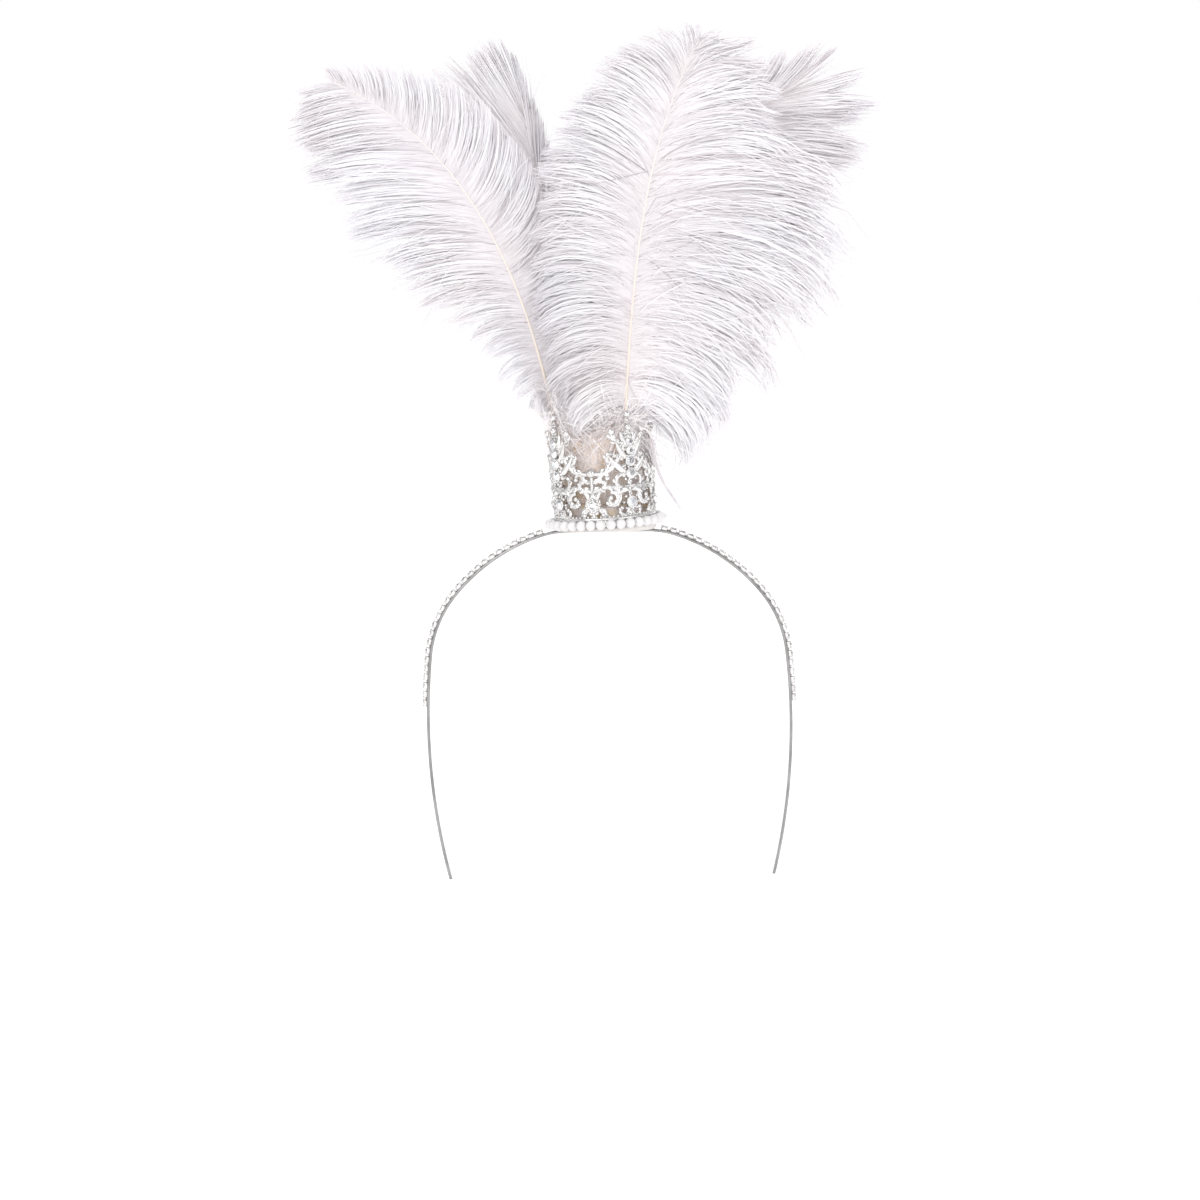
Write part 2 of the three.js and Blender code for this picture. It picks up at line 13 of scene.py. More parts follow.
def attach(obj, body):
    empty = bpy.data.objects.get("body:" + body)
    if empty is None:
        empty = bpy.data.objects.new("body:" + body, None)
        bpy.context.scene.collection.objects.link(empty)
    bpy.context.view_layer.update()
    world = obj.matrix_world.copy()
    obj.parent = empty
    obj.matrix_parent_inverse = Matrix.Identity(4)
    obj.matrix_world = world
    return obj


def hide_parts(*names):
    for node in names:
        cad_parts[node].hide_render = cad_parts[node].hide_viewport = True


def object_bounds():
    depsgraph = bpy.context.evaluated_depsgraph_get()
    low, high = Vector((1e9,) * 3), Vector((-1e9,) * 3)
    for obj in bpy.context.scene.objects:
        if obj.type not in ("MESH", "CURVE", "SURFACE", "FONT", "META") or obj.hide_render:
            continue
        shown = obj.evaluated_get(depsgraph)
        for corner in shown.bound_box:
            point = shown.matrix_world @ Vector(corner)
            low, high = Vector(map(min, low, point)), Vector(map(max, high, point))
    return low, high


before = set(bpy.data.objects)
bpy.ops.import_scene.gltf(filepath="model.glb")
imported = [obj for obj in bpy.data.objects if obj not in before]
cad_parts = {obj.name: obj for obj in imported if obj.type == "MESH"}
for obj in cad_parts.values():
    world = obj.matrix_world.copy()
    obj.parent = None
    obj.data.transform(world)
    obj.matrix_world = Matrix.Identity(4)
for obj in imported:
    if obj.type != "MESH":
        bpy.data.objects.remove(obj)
cad_low, cad_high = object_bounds()

MM = 0.001
UP = np.array([0.0, 0.0, 1.0])
BACK = np.array([0.0, 1.0, 0.0])

# Hoop and its stones
HOOP_WIDTH = 4.0
HOOP_THICKNESS = 1.2
HOOP_STEPS = 181
HOOP_END_ROUNDING = 3.0
HOOP_LEVEL_HALF = 16.0
HOOP_BENDS = [(34.0, 18), (74.0, 50), (46.0, 84), (260.0, 104)]  # radius, degrees turned by its end
STONE_PITCH = 3.5
STONES_COVER = 0.62
FIRST_STONE_RIGHT = 22.9
FIRST_STONE_LEFT = 26.3

# Pad, pearls and crown
PEARL_DIAMETER = 4.0
CROWN_HEIGHT = 45.4
CROWN_FOOT_RADIUS = 20.2
CROWN_SPLAY = np.tan(np.radians(2.6))
LEAN = np.radians(3.0)
CROWN_TURN = np.radians(32.0)
PEAKS = 4
GLUE_GAP = 0.3
FOOT_RING_HEIGHT = 3.6
FOOT_RING_PROUD = 0.35
PAD_UNDER = HOOP_THICKNESS + GLUE_GAP
PAD_TOP = PAD_UNDER + 2.0
CROWN_SEAT = PAD_TOP + GLUE_GAP
PAD_RADIUS = CROWN_FOOT_RADIUS
PEARL_RING_RADIUS = CROWN_FOOT_RADIUS + GLUE_GAP + PEARL_DIAMETER / 2
PEARL_SEAT = PAD_UNDER + (PEARL_RING_RADIUS + PEARL_DIAMETER / 2) * np.tan(LEAN)
WALL_RADIUS = CROWN_FOOT_RADIUS - FOOT_RING_PROUD
HALF_SECTOR = np.pi / PEAKS
SOCKET_RADIUS = 16.0
SOCKET_TOP = PAD_TOP + 8.5
QUILL_SINK = 6.0
CROWN_MOUTH = CROWN_SEAT + CROWN_HEIGHT
HALF_ARC = HALF_SECTOR * WALL_RADIUS
ROUND_AT = 0.3434
FINIAL_RADIUS = 1.5
SCROLL_STEPS = 21
GRAINS = 72
# Places across are shares of half a peak's arc, heights and radii shares of the crown's height, angles
# degrees. Each scroll: name, across, height, radius at its start and end, angle at its start, degrees
# turned.
SCROLLS = [
    ("volute", 0.52, 0.24, 0.152, 0.05, -75, 390),
    ("leaf", 0.2, 0.4, 0.08, 0.04, -135, 240),
    ("valley", 0.79, 0.355, 0.06, 0.03, 25, 230),
    ("shoulder", 0.45, 0.6, 0.058, 0.026, -125, 270),
    ("arm", 0.2, 0.815, 0.1, 0.08, -122, 130),
    ("inner", 0.5, 0.235, 0.07, 0.02, 80, 330),
    ("foot", 0.2, 0.13, 0.055, 0.03, 150, 260),
    ("outer foot", 0.8, 0.12, 0.05, 0.025, -20, 250),
    ("crest", 0.66, 0.43, 0.05, 0.025, -60, 260),
    ("collar", 0.22, 0.56, 0.055, 0.025, -150, 250),
    ("throat", 0.14, 0.7, 0.045, 0.025, -150, 200),
]
SWEEP = [(1.0, 0.47), (0.3, 0.42), (0.05, 0.79)]
FRONDS = [
    [(0.04, 0.46), (0.3, 0.48), (0.56, 0.63)],
    [(0.03, 0.58), (0.2, 0.6), (0.34, 0.74)],
    [(0.02, 0.7), (0.14, 0.72), (0.22, 0.82)],
    [(0.04, 0.3), (0.22, 0.34), (0.36, 0.27)],
    [(0.98, 0.3), (0.84, 0.36), (0.72, 0.3)],
    [(0.98, 0.12), (0.9, 0.2), (0.78, 0.2)],
]
STEM_KNOBS = np.array([0.12, 0.3, 0.37, 0.52, 0.61, 0.69, 0.765, 0.83, 0.9])
# Each collar: height as a share of the crown's, and half length. The bead: height share and radius.
STEM_COLLARS = [(0.8, 2.7), (0.895, 1.6), (0.69, 2.0), (0.605, 2.4), (0.345, 2.6)]
STEM_BEAD = (0.855, 1.5)
ARM_BEAD = 1.4
SCROLL_BEAD = 1.05
POST_BEAD = 1.9
GRAIN_RADIUS = 0.62
# Each stone: across, height, radius, and how far round from the peak.
CROWN_STONES = [
    (0.0, 0.2, 0.056, 0.0),
    (0.0, 0.45, 0.05, 0.0),
    (0.0, 0.56, 0.05, 0.0),
    (0.0, 0.65, 0.036, 0.0),
    (0.0, 0.73, 0.036, 0.0),
    (0.0, 0.19, 0.04, HALF_SECTOR),
]
# Section of a cast bar, as (across, out) shares: a flat back and a ridge in front.
RIDGED = np.array(
    [(1, 0), (0.8, 0.5), (0.34, 0.62), (0, 1), (-0.34, 0.62), (-0.8, 0.5), (-1, 0)]
    + [(-0.6, -0.8), (0.6, -0.8)]
)

# Down in the crown, tufts of down at each quill and loose wisps beside the crown. Widths are half widths.
DOWN_CORE_RADIUS = 12.0
DOWN_CORE_BELOW_MOUTH = 5.0
DOWN_ROOT_RADIUS = 8.0
DOWN_LIMIT = 17.2
DOWN_FIBRES = 1200
DOWN_STEPS = 6
DOWN_LENGTHS = (6, 12)
DOWN_WAVE = 0.8
DOWN_WIDTH = 0.24
TUFT_FIBRES = 200
TUFT_BELOW_MOUTH = 8.0
TUFT_STEPS = 8
TUFT_LENGTHS = (10, 27)
TUFT_WAVE = 1.8
TUFT_WIDTH = 0.13
WISP_FIBRES = 7
WISP_STEPS = 16
WISP_WIDTH = 0.34
WISP_TONE = 0.66
# Each wisp: the four corners of its cubic curve. The spreads are how far its fibres stand apart at each
# corner.
WISP_SPREADS = (0.7, 0.4, 0.25, 0.35)
WISPS = [
    [(18.0, -13.0, 38.0), (20.5, -16.0, 24.0), (22.5, -16.0, 20.0), (29.8, -15.0, 10.2)],
    [(18.0, -12.0, 36.0), (19.5, -15.0, 30.0), (20.0, -15.0, 26.0), (23.5, -15.0, 19.0)],
]

# Plumes
QUILL_RADIUS = 1.05
SHAFT_TIP_RADIUS = 0.2
SHAFT_STEPS = 60
SHAFT_SIDES = 10
PLUME_LENGTH = 206.0
# A vane falls away from its face by the cup's share of a barb's reach, and its locks by about the lock
# depth.
CUP = 0.1
LOCK_DEPTH = 2.2
# Barbs crowd a little towards the tip. One of this length has its kind's full width and wave.
TIP_CROWDING = 1.12
FULL_BARB = 40.0
BARB_SIDES = 3
# This share of the barbs is made darker in tone by this much: painted shade among the locks.
PAINTED_SHADE_SHARE = 0.15
PAINTED_SHADE_TONE = 0.45
# Broad barbs carry the vane, and under barbs, given a greyer tone, paint shade into the slits between
# them. Fine ones break both up, loose ones stray between the locks and past the edge, downy ones fill its
# lower part, mouth ones sweep out over the crown's mouth and stray ones cross the vane. Each row: how many
# barbs a side and steps a barb, half width and half thickness, how loosely it keeps to the vane, how far
# it lies behind the face, how high its waves are, its tone from pale to dark (darker tones are painted
# shade), the share of the shaft that its kind reaches, and the degrees by which all drop and each goes
# astray.
BARB_COLUMNS = (
    "kind", "count", "steps", "wide", "thick", "loose", "depth", "wave", "tone", "until", "drop", "astray",
)
BARB_ROWS = [
    ("broad", 480, 8, 0.46, 0.2, 0.05, 0.0, 0.25, 0.2, 1.0, 0, 0),
    ("under", 130, 7, 0.62, 0.2, 0.25, 1.8, 0.4, 0.42, 1.0, 0, 0),
    ("fine", 780, 7, 0.22, 0.14, 0.25, 0.0, 0.5, 0.24, 1.0, 0, 0),
    ("loose", 320, 8, 0.13, 0.1, 1.0, 0.3, 1.3, 0.36, 1.0, 0, 0),
    ("downy", 220, 9, 0.15, 0.12, 1.2, -0.5, 3.4, 0.18, 0.5, 0, 0),
    ("mouth", 84, 9, 0.3, 0.16, 0.4, -9.0, 1.2, 0.0, 0.05, -4, 0),
    ("stray", 44, 12, 0.15, 0.12, 0.9, -1.0, 5.0, 0.2, 1.0, 0, 20),
]
BARB_KINDS = [dict(zip(BARB_COLUMNS, row)) for row in BARB_ROWS]
# Each plume: its root's place as shares of the socket's radius, its length as a share of the longest
# one's, its lean and pitch in degrees at root and tip, the degrees by which it is turned about its shaft,
# and its reach as a share of its own length. Pairs are for its left and right side: how much barbs curl,
# how many locks there are, how wild they are and how ragged their reach is. Gather has, for each side,
# how far barbs are drawn to their lock's tip at the root and at the tip. Frizz is how far up its quill
# the down goes, full how thick the vane is with barbs, and the vane's end a share of the shaft. In its
# vane, reaches are shares and angles degrees from the shaft's tip end.
VANE_COLUMNS = ("at", "left", "right", "left_angle", "right_angle")
PLUMES = [
    dict(
        name="plume_left", root=(-0.84, -0.2), length=1.0, lean=(-8.7, -67), lean_power=2.0,
        pitch=(-1, -12), facing=8, reach=0.301, curl=(0.25, -0.45), locks=(34, 30), wild=(1.0, 0.8),
        frizz=16, gather=((0.8, 0.45), (0.35, 0.16)), ragged=(0.09, 0.03), full=1.0, seed=11, vane_end=1.0,
        vane=[
            (0.0, 0.1, 0.1, 140, 70),
            (0.09, 0.27, 0.22, 106, 66),
            (0.21, 0.44, 0.36, 82, 62),
            (0.43, 0.92, 0.56, 66, 58),
            (0.6, 1.0, 0.59, 52, 52),
            (0.7, 0.93, 0.52, 48, 50),
            (0.8, 0.76, 0.39, 45, 47),
            (0.9, 0.54, 0.26, 42, 44),
            (1.0, 0.24, 0.12, 34, 28),
        ],
    ),
    dict(
        name="plume_back_left", root=(-0.5, 0.6), length=0.932, lean=(-7.2, -26), lean_power=9,
        pitch=(4, 14), facing=-6, reach=0.25, curl=(0.1, 0.3), locks=(36, 30), wild=(1.0, 0.8),
        frizz=56, gather=((0.5, 0.7), (0.35, 0.2)), ragged=(0.1, 0.03), full=0.85, seed=12, vane_end=0.82,
        vane=[
            (0.0, 0.12, 0.12, 110, 100),
            (0.12, 0.4, 0.45, 88, 84),
            (0.3, 0.75, 0.7, 66, 42),
            (0.4, 0.95, 0.8, 54, 16),
            (0.5, 1.3, 0.83, 43, 8),
            (0.6, 1.5, 0.82, 36, 4),
            (0.7, 1.22, 0.82, 26, -1),
            (0.82, 0.8, 0.74, 13, -8),
        ],
    ),
    dict(
        name="plume_front", root=(0.36, -0.45), length=0.942, lean=(3.4, 30), lean_power=2.8,
        pitch=(-2, -12), facing=4, reach=0.464, curl=(0.4, 0.45), locks=(26, 24), wild=(2.2, 2.6),
        frizz=6, gather=((0.55, 0.55), (0.6, 0.85)), ragged=(0.08, 0.17), full=1.25, seed=13, vane_end=1.0,
        vane=[
            (0.0, 0.3, 0.44, 132, 128),
            (0.1, 0.39, 0.6, 108, 115),
            (0.3, 0.48, 0.9, 88, 101),
            (0.42, 0.52, 1.1, 80, 92),
            (0.5, 0.53, 1.12, 76, 86),
            (0.6, 0.52, 0.92, 74, 78),
            (0.7, 0.47, 0.68, 72, 67),
            (0.8, 0.38, 0.53, 67, 56),
            (0.88, 0.27, 0.42, 62, 46),
            (1.0, 0.06, 0.1, 30, 30),
        ],
    ),
    dict(
        name="plume_right", root=(0.3, 0.2), length=0.913, lean=(8.5, 70), lean_power=3.2,
        pitch=(0, 5), facing=2, reach=0.319, curl=(0.2, 0.2), locks=(24, 22), wild=(1.2, 2.0),
        frizz=20, gather=((0.5, 0.6), (0.7, 0.9)), ragged=(0.08, 0.17), full=1.05, seed=14, vane_end=1.0,
        vane=[
            (0.0, 0.12, 0.16, 110, 116),
            (0.12, 0.36, 0.45, 92, 100),
            (0.35, 0.66, 0.82, 78, 84),
            (0.6, 0.62, 1.14, 56, 68),
            (0.7, 0.56, 1.16, 38, 58),
            (0.8, 0.62, 1.14, 23, 46),
            (0.9, 0.64, 1.0, 15, 30),
            (1.0, 0.56, 0.74, 17, 10),
        ],
    ),
]


# Camera and light

ELEVATION = np.radians(6.0)
ROLL = np.radians(1.0)
LENS = 120.0
SENSOR = 36.0
CAMERA_DISTANCE = 1600.0
# The frame's origin lies this far right of the picture's middle and above it.
FRAME_RIGHT = 2.6
FRAME_UP = 27.2
FLOOR_BELOW = 2.0
# Places, sizes and the floor's radius are in metres. Each soft box: name, place, size, watts and tint.
FLOOR_RADIUS = 6.0
AIM = (0.0, 0.0, 0.08)
SOFT_BOXES = [
    ("key_soft_box", (-0.9, -1.3, 1.1), 0.9, 8, "#FFFDFB"),
    ("fill_soft_box", (1.2, -1.0, 0.5), 1.0, 4, "#FBFAFF"),
    ("back_soft_box", (0.3, 1.5, 0.6), 1.2, 6, "#FFFEFD"),
    ("front_soft_box", (0.05, -1.5, 0.12), 1.0, 3.4, "#FFFDFD"),
]


def photo_camera():
    """Looks from the front, 6 degrees down and rolled by 1 degree, with the object where the photograph
    has it."""
    level = np.array([1.0, 0.0, 0.0])
    ahead = np.array([0.0, np.cos(ELEVATION), -np.sin(ELEVATION)])
    upward = np.cross(level, ahead)
    right = level * np.cos(ROLL) - upward * np.sin(ROLL)
    above = level * np.sin(ROLL) + upward * np.cos(ROLL)
    place = (-right * FRAME_RIGHT - above * FRAME_UP - ahead * CAMERA_DISTANCE) * MM
    data = bpy.data.cameras.new("photo_camera")
    data.lens = LENS
    data.sensor_width = SENSOR
    data.clip_start = 0.1
    data.clip_end = 20
    camera = bpy.data.objects.new("photo_camera", data)
    camera.matrix_world = Matrix(
        [[right[i], above[i], -ahead[i], place[i]] for i in range(3)] + [[0, 0, 0, 1]]
    )
    bpy.context.scene.collection.objects.link(camera)
    bpy.context.scene.camera = camera


def soft_box(name, place, size, watts, tint):
    """A square soft light at place that shines at the aim."""
    data = bpy.data.lights.new(name, "AREA")
    data.size = size
    data.energy = watts
    data.color = linear(tint)[:3]
    light = bpy.data.objects.new(name, data)
    light.location = place
    light.rotation_euler = (Vector(AIM) - Vector(place)).to_track_quat("-Z", "Y").to_euler()
    bpy.context.scene.collection.objects.link(light)


def linear(hex_colour):
    """An sRGB hex colour as linear red, green, blue and alpha."""
    channels = np.array([int(hex_colour[i : i + 2], 16) for i in (1, 3, 5)]) / 255
    curved = ((channels + 0.055) / 1.055) ** 2.4
    return (*np.where(channels <= 0.04045, channels / 12.92, curved).tolist(), 1.0)


# Materials


def per(millimetres):
    """A pattern's scale, in repeats a metre, from the real size of one repeat."""
    return 1 / (millimetres * MM)


def new_material(name):
    material = bpy.data.materials.new(name)
    material.use_nodes = True
    shader = material.node_tree.nodes["Principled BSDF"]
    return material, material.node_tree, shader


def add(tree, kind, settings=None, stops=(), **links):
    """Adds one node. Settings are its properties, stops a ramp's (place, hex colour) pairs, and links its
    inputs by name or by i and number: a value, or another node's output."""
    node = tree.nodes.new(kind)
    for key, value in (settings or {}).items():
        setattr(node, key, value)
    for key, value in links.items():
        socket = node.inputs[int(key[1:]) if key[1:].isdigit() else key.replace("_", " ")]
        if isinstance(value, bpy.types.NodeSocket):
            tree.links.new(value, socket)
        else:
            socket.default_value = value
    for _ in stops[2:]:
        node.color_ramp.elements.new(0.5)
    for i, (place, colour) in enumerate(stops):
        node.color_ramp.elements[i].position = place
        node.color_ramp.elements[i].color = linear(colour)
    return node


def bleached_ostrich_barbs():
    """Bleached ostrich barbs: matt keratin under a soft bloom of barbules, bleached until it is nearly
    neutral. Tone paints shade on the barbs that lie behind and on the shaded ones, run paints shade on
    their roots where they crowd at the shaft, and a slow drift from warmer to cooler white goes over the
    bunch in clouds of 45 mm."""
    material, tree, shader = new_material("bleached_ostrich_barbs")
    tone = add(tree, "ShaderNodeAttribute", {"attribute_name": "tone"}).outputs["Fac"]
    run = add(tree, "ShaderNodeAttribute", {"attribute_name": "run"}).outputs["Fac"]
    place = add(tree, "ShaderNodeTexCoord").outputs["Object"]
    # The tone stops grey the barbs behind and the shaded ones, and the run stops grey the roots: painted
    # shade.
    painted_shade_stops = [(0.0, "#FFFFFF"), (0.4, "#FBFAFB"), (0.7, "#E6E2E4"), (1.0, "#B4ADB0")]
    root = [(0.0, "#E6E1E2"), (0.2, "#F1EEEF"), (0.6, "#FCFBFC"), (1.0, "#F9F7F9")]
    drift = [(0.35, "#F1F0F0"), (0.65, "#EFEFF1")]
    body = add(tree, "ShaderNodeValToRGB", stops=painted_shade_stops, i0=tone).outputs["Color"]
    painted_root_shade = add(tree, "ShaderNodeValToRGB", stops=root, i0=run).outputs["Color"]
    cloud = add(tree, "ShaderNodeTexNoise", Vector=place, Scale=per(45.5), Detail=1.0)
    cast = add(tree, "ShaderNodeValToRGB", stops=drift, i0=cloud.outputs["Fac"]).outputs["Color"]
    multiply = {"data_type": "RGBA", "blend_type": "MULTIPLY"}
    first = add(tree, "ShaderNodeMix", multiply, Factor=1.0, i6=body, i7=painted_root_shade).outputs[2]
    second = add(tree, "ShaderNodeMix", multiply, Factor=1.0, i6=first, i7=cast).outputs[2]
    tree.links.new(second, shader.inputs["Base Color"])
    shader.inputs["Roughness"].default_value = 0.75
    shader.inputs["Specular IOR Level"].default_value = 0.2
    shader.inputs["Sheen Weight"].default_value = 0.25
    shader.inputs["Sheen Roughness"].default_value = 0.4
    return material


def feather_shaft_keratin():
    """Feather shaft: smooth split keratin, peach-cream at the quill and nearly white at the tip, with
    streaks of gloss a millimetre or two long."""
    material, tree, shader = new_material("feather_shaft_keratin")
    run = add(tree, "ShaderNodeAttribute", {"attribute_name": "run"}).outputs["Fac"]
    place = add(tree, "ShaderNodeTexCoord").outputs["Object"]
    stops = [(0.0, "#DCCBB8"), (0.3, "#DED3C8"), (0.6, "#E0D9D2"), (1.0, "#E4DFDC")]
    colour = add(tree, "ShaderNodeValToRGB", stops=stops, i0=run).outputs["Color"]
    tree.links.new(colour, shader.inputs["Base Color"])
    streak = add(tree, "ShaderNodeTexNoise", Vector=place, Scale=per(1.43), Detail=2.0)
    rough = add(tree, "ShaderNodeMapRange", i0=streak.outputs["Fac"], i3=0.32, i4=0.5)
    tree.links.new(rough.outputs["Result"], shader.inputs["Roughness"])
    return material


def ostrich_down():
    """Down at the feet of the plumes: the same bleached keratin, a little pink. Tone paints the crown's
    shade on it, so that it goes from pinkish white above to beige below, and brings out tan spots of 6 mm
    from the glue that the quills stand in."""
    material, tree, shader = new_material("ostrich_down")
    tone = add(tree, "ShaderNodeAttribute", {"attribute_name": "tone"}).outputs["Fac"]
    place = add(tree, "ShaderNodeTexCoord").outputs["Object"]
    # The tone stops are painted shade of the crown, and the glue stops are its stains.
    painted_shade_stops = [(0.0, "#FFFBFC"), (0.35, "#FFFAFA"), (0.7, "#FAF3F0"), (1.0, "#EDE1DA")]
    glue = [(0.42, "#FFFFFF"), (0.58, "#FDF6EE"), (0.68, "#F8E6C0")]
    body = add(tree, "ShaderNodeValToRGB", stops=painted_shade_stops, i0=tone).outputs["Color"]
    cloud = add(tree, "ShaderNodeTexNoise", Vector=place, Scale=per(6.25), Detail=2.0)
    stain = add(tree, "ShaderNodeValToRGB", stops=glue, i0=cloud.outputs["Fac"]).outputs["Color"]
    multiply = {"data_type": "RGBA", "blend_type": "MULTIPLY"}
    mixed = add(tree, "ShaderNodeMix", multiply, Factor=tone, i6=body, i7=stain).outputs[2]
    tree.links.new(mixed, shader.inputs["Base Color"])
    shader.inputs["Roughness"].default_value = 0.8
    shader.inputs["Specular IOR Level"].default_value = 0.2
    shader.inputs["Sheen Weight"].default_value = 0.3
    return material


def silver_plated_casting():
    """Silver-plated cast alloy: bright, with the slight orange peel that casting and a thin plate leave,
    drawn at 1 mm so that it shows, and grey in the hollows, partly tarnishing that stays there and partly
    painted shade."""
    material, tree, shader = new_material("silver_plated_casting")
    place = add(tree, "ShaderNodeTexCoord").outputs["Object"]
    hollow = add(tree, "ShaderNodeNewGeometry").outputs["Pointiness"]
    grain = add(tree, "ShaderNodeTexNoise", Vector=place, Scale=per(1.11), Detail=3.0, Roughness=0.55)
    cloud = add(tree, "ShaderNodeTexNoise", Vector=place, Scale=per(4.17), Detail=2.0)
    plate = [(0.3, "#D0CECD"), (0.7, "#EDECEB")]
    # Pointiness greys the hollows: tarnishing there, together with painted shade of the recesses.
    tarnish_and_painted_shade = [(0.4, "#7C7877"), (0.49, "#FFFFFF")]
    bright = add(tree, "ShaderNodeValToRGB", stops=plate, i0=cloud.outputs["Fac"]).outputs["Color"]
    dark = add(tree, "ShaderNodeValToRGB", stops=tarnish_and_painted_shade, i0=hollow).outputs["Color"]
    multiply = {"data_type": "RGBA", "blend_type": "MULTIPLY"}
    mixed = add(tree, "ShaderNodeMix", multiply, Factor=0.8, i6=bright, i7=dark).outputs[2]
    tree.links.new(mixed, shader.inputs["Base Color"])
    rough = add(tree, "ShaderNodeMapRange", i0=grain.outputs["Fac"], i1=0.3, i2=0.7, i3=0.12, i4=0.28)
    tree.links.new(rough.outputs["Result"], shader.inputs["Roughness"])
    bump = add(tree, "ShaderNodeBump", Strength=0.3, Distance=0.0003, Height=grain.outputs["Fac"])
    tree.links.new(bump.outputs["Normal"], shader.inputs["Normal"])
    shader.inputs["Metallic"].default_value = 1.0
    return material


def rolled_steel_strip():
    """Cold-rolled steel strip under a thin nickel wash: greyer than the plate, with fine scratches from
    wear."""
    material, tree, shader = new_material("rolled_steel_strip")
    place = add(tree, "ShaderNodeTexCoord").outputs["Object"]
    cloud = add(tree, "ShaderNodeTexNoise", Vector=place, Scale=per(8.33), Detail=2.0)
    scratch = add(tree, "ShaderNodeTexNoise", Vector=place, Scale=per(0.714), Detail=3.0)
    stops = [(0.3, "#8C8B8C"), (0.7, "#A9A8A8")]
    colour = add(tree, "ShaderNodeValToRGB", stops=stops, i0=cloud.outputs["Fac"]).outputs["Color"]
    tree.links.new(colour, shader.inputs["Base Color"])
    rough = add(tree, "ShaderNodeMapRange", i0=scratch.outputs["Fac"], i1=0.3, i2=0.7, i3=0.2, i4=0.4)
    tree.links.new(rough.outputs["Result"], shader.inputs["Roughness"])
    shader.inputs["Metallic"].default_value = 1.0
    return material


def pearl_lacquer():
    """Imitation pearl: nacre lacquer in many thin coats over a white bead, soft, glossy and slightly
    pink."""
    material, tree, shader = new_material("pearl_lacquer")
    place = add(tree, "ShaderNodeTexCoord").outputs["Object"]
    cloud = add(tree, "ShaderNodeTexNoise", Vector=place, Scale=per(4.55), Detail=2.0)
    stops = [(0.3, "#D3D1D2"), (0.7, "#DEDCDD")]
    colour = add(tree, "ShaderNodeValToRGB", stops=stops, i0=cloud.outputs["Fac"]).outputs["Color"]
    tree.links.new(colour, shader.inputs["Base Color"])
    shader.inputs["Roughness"].default_value = 0.24
    shader.inputs["Coat Weight"].default_value = 0.8
    shader.inputs["Coat Roughness"].default_value = 0.06
    shader.inputs["Sheen Weight"].default_value = 0.1
    return material


def foiled_crystal():
    """Rhinestone: pressed clear glass with a foil back, so each facet throws back another piece of the
    room."""
    material, tree, shader = new_material("foiled_crystal")
    place = add(tree, "ShaderNodeTexCoord").outputs["Object"]
    cloud = add(tree, "ShaderNodeTexNoise", Vector=place, Scale=per(2.0), Detail=1.0)
    stops = [(0.35, "#B9BABF"), (0.6, "#F4F5F7")]
    colour = add(tree, "ShaderNodeValToRGB", stops=stops, i0=cloud.outputs["Fac"]).outputs["Color"]
    tree.links.new(colour, shader.inputs["Base Color"])
    shader.inputs["Metallic"].default_value = 0.75
    shader.inputs["Roughness"].default_value = 0.04
    shader.inputs["Coat Weight"].default_value = 1.0
    shader.inputs["Coat Roughness"].default_value = 0.02
    return material


def ivory_wool_felt():
    """Pressed wool felt: matt, matted fibres in ivory, with stains of the glue that holds the crown,
    amber and mauve and about 9 mm wide. The fibres are drawn coarser than real ones so that they show."""
    material, tree, shader = new_material("ivory_wool_felt")
    place = add(tree, "ShaderNodeTexCoord").outputs["Object"]
    fibre = add(tree, "ShaderNodeTexNoise", Vector=place, Scale=per(0.667), Detail=4.0, Roughness=0.7)
    stain = add(tree, "ShaderNodeTexNoise", Vector=place, Scale=per(9.09), Detail=2.0)
    stops = [(0.36, "#F0CC74"), (0.46, "#F5E4C8"), (0.56, "#F2E6E3"), (0.7, "#DDCDD0")]
    stained = add(tree, "ShaderNodeValToRGB", stops=stops, i0=stain.outputs["Fac"]).outputs["Color"]
    parted = add(tree, "ShaderNodeSeparateXYZ", Vector=place)
    level = parted.outputs["Z"]
    inside = add(tree, "ShaderNodeMapRange", i0=level, i1=PAD_TOP * MM, i2=(PAD_TOP + 2) * MM)
    mixed = add(tree, "ShaderNodeMix", {"data_type": "RGBA"}, Factor=inside.outputs["Result"], i7=stained)
    mixed.inputs[6].default_value = linear("#DAD5D1")
    tree.links.new(mixed.outputs[2], shader.inputs["Base Color"])
    bump = add(tree, "ShaderNodeBump", Strength=0.6, Distance=0.0004, Height=fibre.outputs["Fac"])
    tree.links.new(bump.outputs["Normal"], shader.inputs["Normal"])
    shader.inputs["Roughness"].default_value = 0.9
    shader.inputs["Sheen Weight"].default_value = 0.4
    return material


def studio_paper():
    """Matt white studio paper, with the faint tooth of its fibres."""
    material, tree, shader = new_material("studio_paper")
    place = add(tree, "ShaderNodeTexCoord").outputs["Object"]
    tooth = add(tree, "ShaderNodeTexNoise", Vector=place, Scale=per(25.0), Detail=3.0)
    stops = [(0.3, "#FDFDFE"), (0.7, "#FFFFFF")]
    colour = add(tree, "ShaderNodeValToRGB", stops=stops, i0=tooth.outputs["Fac"]).outputs["Color"]
    tree.links.new(colour, shader.inputs["Base Color"])
    shader.inputs["Roughness"].default_value = 0.95
    return material


# Meshes


def unit(vectors):
    return vectors / np.maximum(np.linalg.norm(vectors, axis=-1, keepdims=True), 1e-9)


